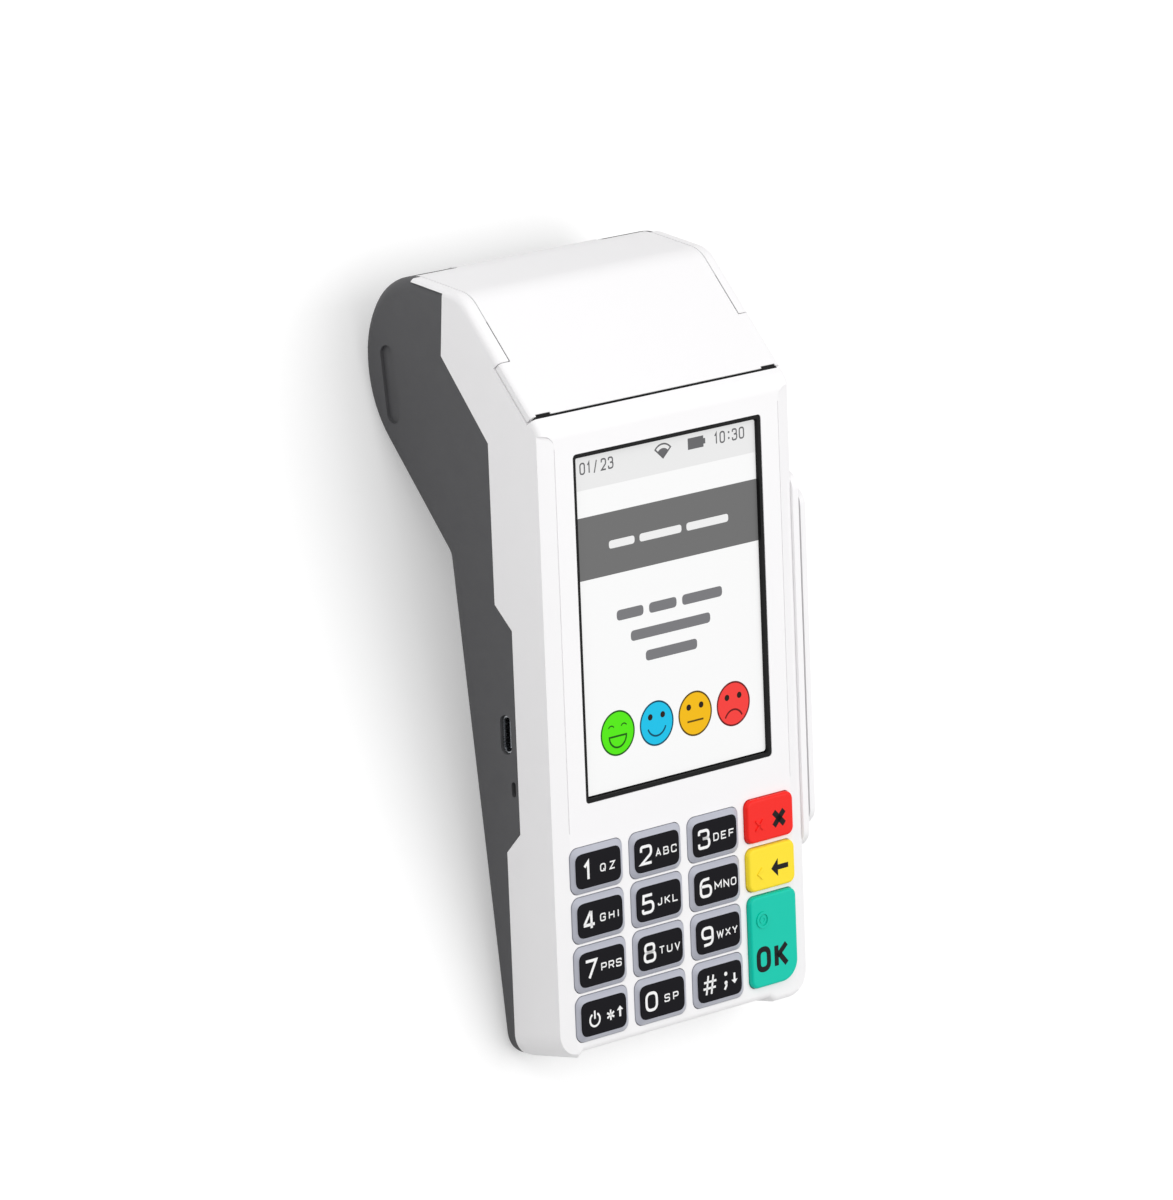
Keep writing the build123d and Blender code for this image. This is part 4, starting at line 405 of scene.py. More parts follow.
class Relief:
    """Closed raised shapes on a face of the case, gathered into one piece."""

    def __init__(self):
        self.points = []
        self.faces = []

    def slab(self, outline, low, high, edge=0.0):
        """Plate of an outline, its upper edge drawn in by a small slope."""
        count = len(outline)
        area = sum(
            outline[i - 1][0] * outline[i][1] - outline[i][0] * outline[i - 1][1]
            for i in range(count)
        )
        if area < 0:
            outline = outline[::-1]
        levels = [(outline, low)]
        if edge:
            levels.append((outline, high - edge))
            levels.append((shrink(outline, edge), high))
        else:
            levels.append((outline, high))
        base = len(self.points)
        for ring, height in levels:
            self.points += [(x, y, height) for x, y in ring]
        for level in range(len(levels) - 1):
            for i in range(count):
                j = (i + 1) % count
                a = base + level * count
                self.faces.append((a + i, a + j, a + count + j, a + count + i))
        top = base + (len(levels) - 1) * count
        self.faces.append(tuple(range(top, top + count)))
        self.faces.append(tuple(range(base + count - 1, base - 1, -1)))

    def stroke(self, path, width, low, high, closed=False):
        """Raised line of even width along a path."""
        spots = [Vector(point) for point in path]
        count = len(spots)
        left = []
        right = []
        for i, spot in enumerate(spots):
            before = spots[i] - spots[i - 1] if (closed or i > 0) else None
            after = spots[(i + 1) % count] - spots[i] if (closed or i < count - 1) else None
            before = before if before is not None and before.length > TINY else after
            after = after if after is not None and after.length > TINY else before
            first = before.normalized()
            second = after.normalized()
            normal = Vector((-(first.y + second.y), first.x + second.x))
            if normal.length < TINY:
                normal = Vector((-first.y, first.x))
            normal.normalize()
            across_line = Vector((-first.y, first.x))
            reach = width / 2 / max(STROKE_MITRE, normal.dot(across_line))
            left.append(spot + normal * reach)
            right.append(spot - normal * reach)
        base = len(self.points)
        for height in (low, high):
            self.points += [(p.x, p.y, height) for p in left]
            self.points += [(p.x, p.y, height) for p in right]
        spans = count if closed else count - 1
        for i in range(spans):
            j = (i + 1) % count
            l0, l1, r0, r1 = base + i, base + j, base + count + i, base + count + j
            up = 2 * count
            self.faces.append((l0 + up, r0 + up, r1 + up, l1 + up))
            self.faces.append((l0, l1, r1, r0))
            self.faces.append((l0, l0 + up, l1 + up, l1))
            self.faces.append((r0, r1, r1 + up, r0 + up))
        if not closed:
            for i, flip in ((0, False), (count - 1, True)):
                a, b, up = base + i, base + count + i, 2 * count
                face = (a, b, b + up, a + up)
                self.faces.append(face[::-1] if flip else face)

    def piece(self, name, material, body, slot):
        """Makes the shapes one visible piece that rides on a body."""
        mesh = bpy.data.meshes.new(name)
        mesh.from_pydata([tuple(CASE @ Vector(point)) for point in self.points], [], self.faces)
        mesh.update()
        mesh.materials.append(material)
        obj = add_object(name, mesh)
        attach(obj, body)


def shrink(outline, distance):
    """Outline moved in by a distance; its points go anticlockwise."""
    result = []
    count = len(outline)
    for i in range(count):
        here = Vector(outline[i])
        before = (here - Vector(outline[i - 1])).normalized()
        after = (Vector(outline[(i + 1) % count]) - here).normalized()
        normal = Vector((-(before.y + after.y), before.x + after.x))
        if normal.length < TINY:
            normal = Vector((-before.y, before.x))
        normal.normalize()
        reach = distance / max(EDGE_MITRE, normal.dot(Vector((-before.y, before.x))))
        result.append(tuple(here + normal * reach))
    return result


# Characters drawn as strokes on a unit square: (points, corner radius, closed)
FULL = [(0, 0), (1, 0), (1, 1), (0, 1)]
GLYPHS = {
    "0": [(FULL, 0.36, True)],
    "1": [([(0.12, 0.74), (0.62, 1), (0.62, 0)], 0, False)],
    "2": [([(0.02, 0.7), (0.02, 1), (0.98, 1), (0.98, 0.52), (0.02, 0), (1, 0)],
           [0, 0.3, 0.3, 0.3, 0, 0], False)],
    "3": [
        ([(0.02, 0.76), (0.02, 1), (0.94, 1), (0.94, 0.53), (0.36, 0.53)], 0.24, False),
        ([(0.36, 0.53), (1, 0.53), (1, 0), (0, 0), (0, 0.26)], 0.26, False),
    ],
    "4": [([(0.66, 1), (0.02, 0.26)], 0, False), ([(-0.05, 0.22), (1, 0.22)], 0, False),
          ([(0.7, 0), (0.7, 1)], 0, False)],
    "5": [([(0.92, 1), (0.1, 1), (0.06, 0.58), (1, 0.62), (1, 0), (0, 0), (0, 0.22)],
           [0, 0, 0, 0.3, 0.3, 0.24, 0], False)],
    "6": [([(0.86, 1), (0.02, 0.98), (0, 0), (1, 0), (1, 0.6), (0.03, 0.6)],
           [0, 0.44, 0.3, 0.3, 0.3, 0], False)],
    "7": [([(0, 1), (1, 1), (0.3, 0)], 0, False)],
    "8": [
        ([(0.07, 0.53), (0.93, 0.53), (0.93, 1), (0.07, 1)], 0.24, True),
        ([(0, 0), (1, 0), (1, 0.53), (0, 0.53)], 0.26, True),
    ],
    "9": [([(0.14, 0), (0.98, 0.02), (1, 1), (0, 1), (0, 0.4), (0.97, 0.4)],
           [0, 0.44, 0.3, 0.3, 0.3, 0], False)],
    "A": [([(0, 0), (0.5, 1), (1, 0)], 0, False), ([(0.2, 0.32), (0.8, 0.32)], 0, False)],
    "B": [
        ([(0, 0.53), (0.9, 0.53), (0.9, 1), (0, 1)], [0, 0.2, 0.2, 0], True),
        ([(0, 0), (1, 0), (1, 0.53), (0, 0.53)], [0, 0.22, 0.22, 0], True),
    ],
    "C": [([(1, 0.72), (1, 1), (0, 1), (0, 0), (1, 0), (1, 0.28)], 0.3, False)],
    "D": [([(0, 0), (1, 0), (1, 1), (0, 1)], [0, 0.4, 0.4, 0], True)],
    "E": [([(1, 1), (0, 1), (0, 0), (1, 0)], 0, False), ([(0, 0.52), (0.85, 0.52)], 0, False)],
    "F": [([(1, 1), (0, 1), (0, 0)], 0, False), ([(0, 0.5), (0.85, 0.5)], 0, False)],
    "G": [([(1, 0.72), (1, 1), (0, 1), (0, 0), (1, 0), (1, 0.48), (0.55, 0.48)],
           [0, 0.3, 0.3, 0.3, 0.2, 0, 0], False)],
    "H": [([(0, 0), (0, 1)], 0, False), ([(1, 0), (1, 1)], 0, False),
          ([(0, 0.52), (1, 0.52)], 0, False)],
    "I": [([(0.5, 0), (0.5, 1)], 0, False)],
    "J": [([(0.9, 1), (0.9, 0), (0, 0), (0, 0.3)], 0.3, False)],
    "K": [([(0, 0), (0, 1)], 0, False), ([(1, 1), (0.1, 0.48)], 0, False),
          ([(0.3, 0.56), (1, 0)], 0, False)],
    "L": [([(0, 1), (0, 0), (1, 0)], 0, False)],
    "M": [([(0, 0), (0, 1), (0.5, 0.3), (1, 1), (1, 0)], 0, False)],
    "N": [([(0, 0), (0, 1), (1, 0), (1, 1)], 0, False)],
    "O": [(FULL, 0.34, True)],
    "P": [([(0, 0), (0, 1), (1, 1), (1, 0.42), (0, 0.42)], [0, 0, 0.25, 0.25, 0], False)],
    "Q": [(FULL, 0.34, True), ([(0.6, 0.3), (1.02, -0.08)], 0, False)],
    "R": [
        ([(0, 0), (0, 1), (1, 1), (1, 0.44), (0, 0.44)], [0, 0, 0.25, 0.25, 0], False),
        ([(0.55, 0.44), (1, 0)], 0, False),
    ],
    "S": [([(1, 0.76), (1, 1), (0, 1), (0, 0.53), (1, 0.5), (1, 0), (0, 0), (0, 0.24)], 0.23, False)],
    "T": [([(0, 1), (1, 1)], 0, False), ([(0.5, 1), (0.5, 0)], 0, False)],
    "U": [([(0, 1), (0, 0), (1, 0), (1, 1)], 0.34, False)],
    "V": [([(0, 1), (0.5, 0), (1, 1)], 0, False)],
    "W": [([(0, 1), (0.25, 0), (0.5, 0.75), (0.75, 0), (1, 1)], 0, False)],
    "X": [([(0, 0), (1, 1)], 0, False), ([(0, 1), (1, 0)], 0, False)],
    "Y": [([(0, 1), (0.5, 0.45), (1, 1)], 0, False), ([(0.5, 0.45), (0.5, 0)], 0, False)],
    "Z": [([(0, 1), (1, 1), (0, 0), (1, 0)], 0, False)],
    "#": [
        ([(0.22, -0.04), (0.4, 1.04)], 0, False),
        ([(0.6, -0.04), (0.78, 1.04)], 0, False),
        ([(0.0, 0.32), (0.94, 0.32)], 0, False),
        ([(0.06, 0.68), (1.0, 0.68)], 0, False),
    ],
    "/": [([(0.1, -0.1), (0.9, 1.05)], 0, False)],
}
# Breadths of the characters that aren't as wide as the others
BREADTHS = {"1": 0.75, "I": 0.25, "J": 0.85, "/": 0.7, "M": 1.3, "W": 1.3}


def write(relief, text, x, y, size, width, gap, line, low, high):
    """Draws characters as strokes, centred on x, y; size is their height and width their breadth."""
    widths = [width * BREADTHS.get(letter, 1.0) for letter in text]
    left = x - (sum(widths) + gap * (len(text) - 1)) / 2
    for letter, breadth in zip(text, widths):
        for points, radius, closed in GLYPHS[letter]:
            inner = size - line
            placed = [
                (left + line / 2 + px * (breadth - line), y - inner / 2 + py * inner)
                for px, py in points
            ]
            if isinstance(radius, list):
                sizes = [value * inner for value in radius]
            else:
                sizes = radius * inner
            relief.stroke(soften(placed, sizes, closed), line, low, high, closed)
        left += breadth + gap


# Screen page, in thin layers on the glass; the Z values are the layers' lower and upper faces
PAGE_LEFT = -29.0
PAGE_RIGHT = 29.0
PAGE_LOW = -40.0
PAGE_HIGH = 40.0
LAYER = 0.012
PAGE_TOP = GLASS_FACE + LAYER
INK_LOW = GLASS_FACE
INK = GLASS_FACE + 2 * LAYER
FACE_INK = GLASS_FACE + 3 * LAYER
PAGE_CORNER = 0.8
STATUS_LOW = 32.2
STATUS_CORNER = 0.6
STATUS_INSET = 0.01
BAND_LOW = 11.0
BAND_HIGH = 25.8
# Status bar: characters with their middle, breadth, gap and line
STATUS_SIZE = 2.9
STATUS_TEXTS = (
    ("01", -25.2, 37.3, 1.75, 0.5, 0.38),
    ("/", -22.0, 37.3, 1.9, 0.4, 0.34),
    ("23", -18.3, 37.3, 1.75, 0.5, 0.38),
    ("10", 17.6, 37.5, 1.75, 0.5, 0.38),
    ("30", 23.6, 37.5, 1.75, 0.5, 0.38),
)
COLON = ((20.6, 36.9), (20.6, 38.3))
COLON_RADIUS = 0.28
# The battery sign's body and its tip
BATTERY_SIGN = ((7.4, 12.4, 36.2, 38.9), (12.4, 13.0, 36.9, 38.2))
# The radio sign: a filled fan inside an outlined one
FAN_POINT = (-0.6, 35.7)
FAN_INNER = 2.3
FAN_OUTER = 3.3
FAN_LINE = 0.4
# Bars in place of words: their height, the share of it that rounds them, and their rows
BAR_ROUND = 0.42
TITLE_HEIGHT = 1.9
TITLE = (18.1, ((-18.7, -10.6), (-9.0, 4.4), (6.0, 19.5)))
QUESTION_HEIGHT = 2.5
QUESTION = (
    (1.0, ((-17.1, -8.6), (-6.8, 2.0), (3.8, 16.7))),
    (-4.6, ((-12.9, 12.6),)),
    (-10.1, ((-8.4, 8.1),)),
)


def on_page(relief, name, look, code):
    """Makes the shapes a piece of the screen's page, in a lit colour."""
    relief.piece(name, shown(look, code), "terminal", "screen_glass")


page = Relief()
page.slab(
    rectangle(PAGE_LEFT, PAGE_RIGHT, PAGE_LOW, PAGE_HIGH, PAGE_CORNER), GLASS_FACE - LAYER, PAGE_TOP,
)
on_page(page, "page", "white", "ffffff")

status = Relief()
status_high = PAGE_HIGH - STATUS_INSET
status.slab(rectangle(PAGE_LEFT, PAGE_RIGHT, STATUS_LOW, status_high, STATUS_CORNER), INK_LOW, INK)
on_page(status, "status_bar", "status", "f0f0f0")

band = Relief()
band.slab(rectangle(PAGE_LEFT, PAGE_RIGHT, BAND_LOW, BAND_HIGH), INK_LOW, INK)
on_page(band, "title_band", "band", "737373")


def words(relief, y, height, spans, top):
    """Row of plain bars in place of words."""
    half = height / 2
    for x0, x1 in spans:
        relief.slab(rectangle(x0, x1, y - half, y + half, height * BAR_ROUND), INK_LOW, top)


title = Relief()
words(title, TITLE[0], TITLE_HEIGHT, TITLE[1], FACE_INK)
on_page(title, "title_words", "title", "f4f4f4")

question = Relief()
for y, spans in QUESTION:
    words(question, y, QUESTION_HEIGHT, spans, INK)
on_page(question, "question_words", "question", "7d7d80")

signs = Relief()
for text, x, y, breadth, gap, line in STATUS_TEXTS:
    write(signs, text, x, y, STATUS_SIZE, breadth, gap, line, INK_LOW, FACE_INK)
for dot in COLON:
    signs.slab(circle(*dot, COLON_RADIUS, 12), INK_LOW, FACE_INK)
for part in BATTERY_SIGN:
    signs.slab(rectangle(*part), INK_LOW, FACE_INK)
signs.slab([FAN_POINT] + arc(*FAN_POINT, FAN_INNER, 45, 135), INK_LOW, FACE_INK)
signs.stroke([FAN_POINT] + arc(*FAN_POINT, FAN_OUTER, 42, 138), FAN_LINE, INK_LOW, FACE_INK, True)
on_page(signs, "status_signs", "signs", "6b6b6d")

# Rating faces
FACE_Y = -26.7
FACE_RADIUS = 5.2
FACE_STEPS = 64
EYE_X = 2.0
EYE_Y = 1.75
EYE_RADIUS = 0.75
LID_Y = 1.0
LID_RADIUS = 1.0
LAUGH_Y = -0.7
LAUGH_RADIUS = 2.7
CURVE_RADIUS = 3.0
FROWN_Y = -4.4
PLAIN_Y = -1.7
PLAIN_HALF = 2.6
RIM_LINE = 0.42
LID_LINE = 0.3
MOUTH_LINE = 0.45
FACES = (
    ("laugh", -18.2, "57ef10", "1d5f0c"),
    ("smile", -5.75, "1cc6ee", "0d4f66"),
    ("plain", 6.65, "f9c012", "5f4a0c"),
    ("frown", 19.05, "fb4440", "701a18"),
)
for mood, x, fill, outline in FACES:
    disc = Relief()
    disc.slab(circle(x, FACE_Y, FACE_RADIUS, FACE_STEPS), INK_LOW, INK)
    on_page(disc, "face_" + mood, "face_" + mood, fill)
    lines = Relief()
    lines.stroke(circle(x, FACE_Y, FACE_RADIUS, FACE_STEPS), RIM_LINE, INK_LOW, FACE_INK, True)
    if mood == "laugh":
        for side in (-1, 1):
            lid = arc(x + side * EYE_X, FACE_Y + LID_Y, LID_RADIUS, 30, 150)
            lines.stroke(lid, LID_LINE, INK_LOW, FACE_INK)
        y = FACE_Y + LAUGH_Y
        mouth = [(x - LAUGH_RADIUS, y), (x + LAUGH_RADIUS, y)] + arc(x, y, LAUGH_RADIUS, -10, -170)
        lines.stroke(mouth, MOUTH_LINE, INK_LOW, FACE_INK, True)
    elif mood == "smile":
        lines.stroke(arc(x, FACE_Y, CURVE_RADIUS, -160, -20), MOUTH_LINE, INK_LOW, FACE_INK)
    elif mood == "plain":
        y = FACE_Y + PLAIN_Y
        mouth = [(x - PLAIN_HALF, y), (x + PLAIN_HALF, y)]
        lines.stroke(mouth, MOUTH_LINE, INK_LOW, FACE_INK)
    else:
        curve = arc(x, FACE_Y + FROWN_Y, CURVE_RADIUS, 25, 155)
        lines.stroke(curve, MOUTH_LINE, INK_LOW, FACE_INK)
    on_page(lines, "face_lines_" + mood, "lines_" + mood, outline)
    if mood != "laugh":
        eyes = Relief()
        for side in (-1, 1):
            eye = circle(x + side * EYE_X, FACE_Y + EYE_Y, EYE_RADIUS, 24)
            eyes.slab(eye, INK_LOW, FACE_INK)
        on_page(eyes, "face_eyes_" + mood, "eyes_" + mood, "2a1c14")

# Number keys: the first one's middle, the steps to the next ones, and the height of their tops
KEY_LEFT = -27.7
KEY_PITCH_X = 18.7
KEY_TOP = -56.6
KEY_PITCH_Y = 11.84
KEY_RISE = 1.1
LABEL_WIDTH = 14.2
LABEL_HEIGHT = 8.5
LABEL_RADIUS = 2.1
LABEL_SHIFT = -0.25
LABEL_LOW = KEY_RISE - 0.2
LABEL_TOP = KEY_RISE + 0.05
LABEL_EDGE = 0.1
PRINT_LOW = LABEL_TOP - 0.05
PRINT_TOP = LABEL_TOP + 0.02
# Digits and hash sign: shift from the key's middle, breadth and line
DIGIT_HEIGHT = 4.8
DIGIT = (-3.85, -0.05, 4.0, 0.7)
HASH = (-3.65, -0.1, 4.8, 0.55)
LETTER_X = 2.55
LETTER_Y = -0.2
LETTER_HEIGHT = 1.95
LETTER_BREADTH = 1.78
LETTER_GAP = 0.72
LETTER_LINE = 0.32
# Signs of the two lower corner keys: sizes, and an arrow's length, head and line
POWER_RADIUS = 1.55
POWER_LINE = 0.5
STAR_REACH = 1.25
STAR_LINE = 0.48
DOT_RADIUS = 0.5
TAIL_LINE = 0.6
KEY_ARROW = (2.6, 1.0, 0.6)
film = printed("label_film", "0f0e14", 0.6, 0.12)
white_ink = printed("white_ink", "f3f3f3")
LETTER_GAPS = {"QZ": 1.2, "GHI": 1.0, "SP": 1.0, "PRS": 0.58, "WXY": 0.5, "MNO": 0.6}
KEYS = (
    (("key_1", "1", "QZ"), ("key_2", "2", "ABC"), ("key_3", "3", "DEF")),
    (("key_4", "4", "GHI"), ("key_5", "5", "JKL"), ("key_6", "6", "MNO")),
    (("key_7", "7", "PRS"), ("key_8", "8", "TUV"), ("key_9", "9", "WXY")),
    (("key_star", "", ""), ("key_0", "0", "SP"), ("key_hash", "#", "")),
)


def arrow(relief, x, y, length, head, line, direction, low, high):
    """Arrow from its tail to its tip along a direction in degrees."""
    way = Vector((math.cos(math.radians(direction)), math.sin(math.radians(direction))))
    side = Vector((-way.y, way.x))
    middle = Vector((x, y))
    tip = middle + way * length / 2
    neck = tip - way * head
    tail = middle - way * length / 2
    outline = [
        tail + side * line / 2, tail - side * line / 2, neck - side * line / 2, neck - side * head,
        tip, neck + side * head, neck + side * line / 2,
    ]
    relief.slab([tuple(p) for p in outline], low, high)


def star_signs(ink, x, y):
    """Power ring, star and upward arrow."""
    ring_x, ring_y = x - 3.3, y - 0.5
    ring = arc(ring_x, ring_y, POWER_RADIUS, 120, 420, 28)
    ink.stroke(ring, POWER_LINE, PRINT_LOW, PRINT_TOP)
    bar = [(ring_x, ring_y + 0.2), (ring_x, ring_y + 2.2)]
    ink.stroke(bar, POWER_LINE, PRINT_LOW, PRINT_TOP)
    for spoke in (90, 30, 150):
        dx = STAR_REACH * math.cos(math.radians(spoke))
        dy = STAR_REACH * math.sin(math.radians(spoke))
        ends = [(x + 1.7 - dx, y - 0.4 - dy), (x + 1.7 + dx, y - 0.4 + dy)]
        ink.stroke(ends, STAR_LINE, PRINT_LOW, PRINT_TOP)
    arrow(ink, x + 4.7, y - 0.1, *KEY_ARROW, 90, PRINT_LOW, PRINT_TOP)


def hash_signs(ink, x, y):
    """Semicolon and downward arrow."""
    for dot_y in (y + 1.5, y - 0.7):
        ink.slab(circle(x + 1.6, dot_y, DOT_RADIUS, 16), PRINT_LOW, PRINT_TOP)
    tail = [(x + 1.75, y - 0.7), (x + 1.7, y - 1.4), (x + 1.1, y - 2.3)]
    ink.stroke(tail, TAIL_LINE, PRINT_LOW, PRINT_TOP)
    arrow(ink, x + 4.4, y - 0.1, *KEY_ARROW, 270, PRINT_LOW, PRINT_TOP)


def number_key(node, digit, letters, x, y):
    """Label and legend of one grey key."""
    label = Relief()
    half_x = LABEL_WIDTH / 2
    half_y = LABEL_HEIGHT / 2
    middle = x + LABEL_SHIFT
    plate = rectangle(middle - half_x, middle + half_x, y - half_y, y + half_y, LABEL_RADIUS)
    label.slab(plate, LABEL_LOW, LABEL_TOP, LABEL_EDGE)
    label.piece(node + "_label", film, node + "_body", "number_key")
    ink = Relief()
    if digit:
        dx, dy, breadth, line = HASH if digit == "#" else DIGIT
        write(ink, digit, x + dx, y + dy, DIGIT_HEIGHT, breadth, 0, line, PRINT_LOW, PRINT_TOP)
    if letters:
        gap = LETTER_GAPS.get(letters, LETTER_GAP)
        write(ink, letters, x + LETTER_X, y + LETTER_Y, LETTER_HEIGHT, LETTER_BREADTH, gap, LETTER_LINE,
              PRINT_LOW, PRINT_TOP)
    if node == "key_star":
        star_signs(ink, x, y)
    if node == "key_hash":
        hash_signs(ink, x, y)
    ink.piece(node + "_legend", white_ink, node + "_body", "number_key")


for row, places in enumerate(KEYS):
    for column, key in enumerate(places):
        number_key(*key, KEY_LEFT + column * KEY_PITCH_X, KEY_TOP - row * KEY_PITCH_Y)

# Coloured keys: raised marks in the key's own colour, and printed signs
COLOUR_TOP = 1.3
MARK = 0.28
MARK_LOW = COLOUR_TOP - 0.1
MARK_TOP = COLOUR_TOP + MARK
RING_TOP = COLOUR_TOP + MARK / 2
SIGN_LOW = COLOUR_TOP - 0.05
SIGN_TOP = COLOUR_TOP + 0.02
black_ink = printed("black_ink", "131214", 0.6, 0.2)


def cross(relief, x, y, size, line, low, high):
    half = size / 2
    for side in (-1, 1):
        relief.stroke([(x - side * half, y - half), (x + side * half, y + half)], line, low, high)


def coloured_key(key, slot, mark, sign):
    """Makes a coloured key's raised mark and its printed sign pieces."""
    mark.piece(key + "_mark", FINISHES[key], key + "_body", slot)
    sign.piece(key + "_sign", black_ink, key + "_body", slot)


mark, sign = Relief(), Relief()
cross(mark, 23.8, -56.9, 2.4, 0.45, MARK_LOW, MARK_TOP)
cross(sign, 30.3, -56.3, 3.4, 1.45, SIGN_LOW, SIGN_TOP)
coloured_key("key_cancel", "red_key", mark, sign)

mark, sign = Relief(), Relief()
mark.stroke([(24.3, -67.4), (22.9, -68.7), (24.3, -70.0)], 0.5, MARK_LOW, MARK_TOP)
arrow(sign, 30.0, -68.2, 5.6, 2.2, 1.25, 180, SIGN_LOW, SIGN_TOP)
coloured_key("key_clear", "yellow_key", mark, sign)

mark, sign = Relief(), Relief()
mark.stroke(circle(23.8, -80.0, 1.75, 32), 0.55, MARK_LOW, MARK_TOP, True)
mark.stroke(circle(23.8, -80.0, 0.75, 24), 0.4, MARK_LOW, RING_TOP, True)
write(sign, "OK", 26.7, -89.7, 6.3, 4.7, 1.2, 1.35, SIGN_LOW, SIGN_TOP)
coloured_key("key_ok", "green_key", mark, sign)

# Painted shade: a dark rubber lip stands in for the shade in the cover's slit, along its lower edge, in
# the notches at both ends and in the side seams.
# It is drawn on the slope, where Y runs up the slope from its lower edge and Z stands out of it.
SLOPE_START = 48.0
SLOPE_ANGLE = math.radians(41.5)
EDGE_ALONG = 4.4
LIP_REACH = 0.5
LIP_SINK = 0.05
LIP_START = EDGE_ALONG - LIP_REACH
LIP_END = EDGE_ALONG + LIP_SINK
LIP_HALF = 38.4
LIP_TOP = -0.25
LIP_LOW = -1.7
NOTCH_OUTER = 38.1
NOTCH_INNER = 33.6
NOTCH_TOP = 5.0
SEAM_X = 36.3
SEAM_SINK = 0.05
SEAM_REACH = 0.17
SEAM_LOW = 19.8
SEAM_HIGH = 31.0
SEAM_TOP = -0.12
shade_lip = Relief()
shade_lip.slab([
    (-LIP_HALF, LIP_START), (LIP_HALF, LIP_START), (LIP_HALF, LIP_END),
    (NOTCH_OUTER, LIP_END), (NOTCH_OUTER, NOTCH_TOP), (NOTCH_INNER, NOTCH_TOP),
    (NOTCH_INNER, LIP_END), (-NOTCH_INNER, LIP_END), (-NOTCH_INNER, NOTCH_TOP),
    (-NOTCH_OUTER, NOTCH_TOP), (-NOTCH_OUTER, LIP_END), (-LIP_HALF, LIP_END),
], LIP_LOW, LIP_TOP)
for side in (-1, 1):
    seam_x = side * SEAM_X
    shade_lip.slab([
        (seam_x - side * SEAM_SINK, SEAM_LOW), (seam_x + side * SEAM_REACH, SEAM_LOW),
        (seam_x + side * SEAM_REACH, SEAM_HIGH), (seam_x - side * SEAM_SINK, SEAM_HIGH),
    ], LIP_LOW, SEAM_TOP)
shade_lip.points = [
    (x, SLOPE_START + y * math.cos(SLOPE_ANGLE) + z * math.sin(SLOPE_ANGLE),
     z * math.cos(SLOPE_ANGLE) - y * math.sin(SLOPE_ANGLE))
    for x, y, z in shade_lip.points
]
# The lip's dark rubber is painted shade for the slit and the side seams
shade_lip.piece("slit_shade_lip", FINISHES["screen_gasket"], "cover", "black_rubber")

# Room: floor, lights and camera, in metres. The camera sees the floor lit up towards white;
# the object is lit by a plain pale floor.
FLOOR_HALF = 3.0
FLOOR_PALE = (0.82, 0.82, 0.82, 1)
FLOOR_SEEN = (0.72, 0.72, 0.72, 1)
FLOOR_GLOW = 0.34
floor_mesh = bpy.data.meshes.new("floor")
floor_mesh.from_pydata(
    [(-FLOOR_HALF, -FLOOR_HALF, 0), (FLOOR_HALF, -FLOOR_HALF, 0), (FLOOR_HALF, FLOOR_HALF, 0),
     (-FLOOR_HALF, FLOOR_HALF, 0)], [], [(0, 1, 2, 3)])
floor = add_object("floor", floor_mesh)
floor_nodes = Nodes("floor")
pale = floor_nodes.add("ShaderNodeBsdfDiffuse", Color=FLOOR_PALE)
bright = floor_nodes.add("ShaderNodeBsdfDiffuse", Color=FLOOR_SEEN)
glow = floor_nodes.add("ShaderNodeEmission", Color=WHITE, Strength=FLOOR_GLOW)
sum_node = floor_nodes.add("ShaderNodeAddShader")
floor_nodes.link(bright.outputs[0], sum_node.inputs[0])
floor_nodes.link(glow.outputs[0], sum_node.inputs[1])
path = floor_nodes.add("ShaderNodeLightPath")
mix = floor_nodes.add("ShaderNodeMixShader")
floor_nodes.link(path.outputs["Is Camera Ray"], mix.inputs[0])
floor_nodes.link(pale.outputs[0], mix.inputs[1])
floor_nodes.link(sum_node.outputs[0], mix.inputs[2])
floor_nodes.link(mix.outputs[0], floor_nodes.output.inputs["Surface"])
floor_mesh.materials.append(floor_nodes.material)

# Sky: a soft dome, brightest towards DOME_FROM, that lights the object; the camera sees plain white
DOME_LOW = 0.12
DOME_HIGH = 0.8
DOME_FROM = (0.1, 0.28, 0.95)
DOME_START = -0.5
DOME_END = 1.0
world = bpy.data.worlds.new("studio")
sky = Tree(world)
world_out = sky.add("ShaderNodeOutputWorld")
soft = sky.add("ShaderNodeBackground", Color=WHITE)
direction = sky.add("ShaderNodeTexCoord")
lean = sky.add("ShaderNodeVectorMath")
lean.operation = "DOT_PRODUCT"
lean.inputs[1].default_value = DOME_FROM
sky.link(direction.outputs["Generated"], lean.inputs[0])
dome = sky.add(
    "ShaderNodeMapRange", From_Min=DOME_START, From_Max=DOME_END, To_Min=DOME_LOW, To_Max=DOME_HIGH,
)
dome.interpolation_type = "SMOOTHSTEP"
sky.link(lean.outputs["Value"], dome.inputs["Value"])
sky.link(dome.outputs["Result"], soft.inputs["Strength"])
clear = sky.add("ShaderNodeBackground", Color=WHITE, Strength=1.0)
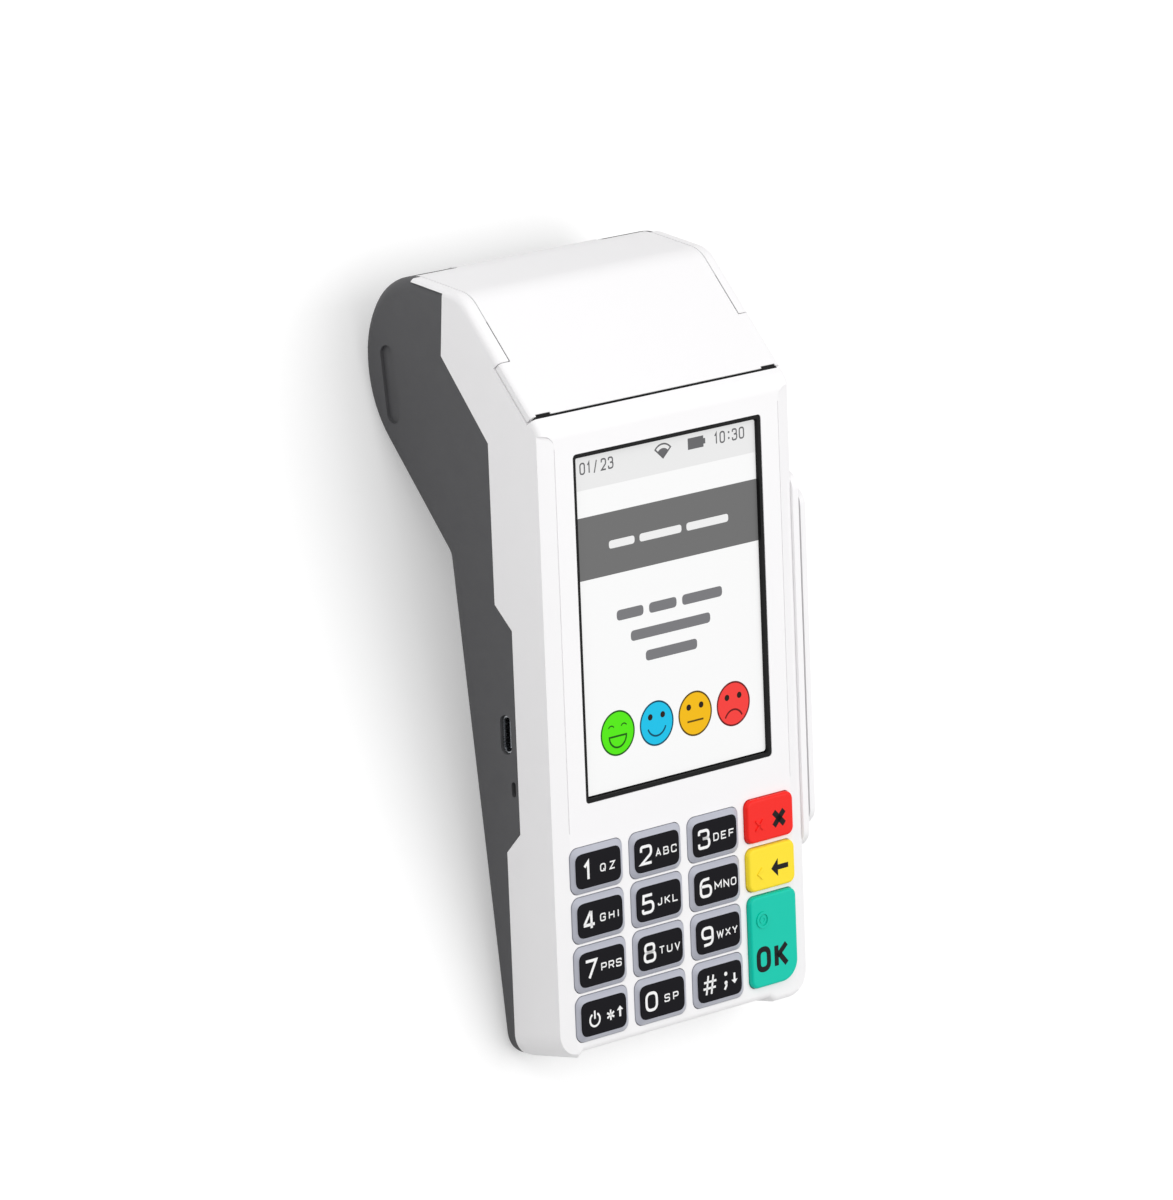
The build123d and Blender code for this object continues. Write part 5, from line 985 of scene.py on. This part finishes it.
world_path = sky.add("ShaderNodeLightPath")
seen = sky.add("ShaderNodeMath")
seen.operation = "MAXIMUM"
sky.link(world_path.outputs["Is Camera Ray"], seen.inputs[0])
sky.link(world_path.outputs["Is Transmission Ray"], seen.inputs[1])
world_mix = sky.add("ShaderNodeMixShader")
sky.link(seen.outputs[0], world_mix.inputs[0])
sky.link(soft.outputs[0], world_mix.inputs[1])
sky.link(clear.outputs[0], world_mix.inputs[2])
sky.link(world_mix.outputs[0], world_out.inputs["Surface"])
bpy.context.scene.world = world
LIGHT_AIM = Vector((0, 0, 0.03))


def softbox(name, place, size, power):
    """Square area light aimed at the case's middle."""
    light = bpy.data.lights.new(name, "AREA")
    light.shape = "SQUARE"
    light.size = size
    light.energy = power
    obj = add_object(name, light)
    obj.location = Vector(place)
    obj.rotation_euler = (LIGHT_AIM - obj.location).to_track_quat("-Z", "Y").to_euler()


softbox("key_light", (0.45, -0.14, 1.13), 1.0, 6.3)
softbox("fill_light", (-0.4, 0.34, 0.36), 0.3, 0.75)

# Camera, fitted to the case's edges in the photograph; its axes are in the case frame
CAMERA_RIGHT = (0.733637, -0.038398, 0.678455)
CAMERA_UP = (0.174571, 0.975545, -0.133557)
CAMERA_BACK = (-0.656735, 0.216421, 0.722399)
CAMERA_PLACE = (-1162.971, 381.012, 1249.072)
IMAGE_WIDTH = 1173
IMAGE_HEIGHT = 1200
FOCAL_PIXELS = 7500.9
SENSOR = 36.0
FAR = 20
camera_data = bpy.data.cameras.new("camera")
camera_data.sensor_width = SENSOR
camera_data.lens = FOCAL_PIXELS * SENSOR / max(IMAGE_WIDTH, IMAGE_HEIGHT)
camera_data.clip_end = FAR
camera = add_object("camera", camera_data)
axes = Matrix((CAMERA_RIGHT, CAMERA_UP, CAMERA_BACK)).transposed()
facing = turn.to_3x3() @ axes
camera.matrix_world = Matrix.Translation(CASE @ Vector(CAMERA_PLACE)) @ facing.to_4x4()
bpy.context.scene.camera = camera
bpy.context.scene.view_settings.view_transform = "Standard"
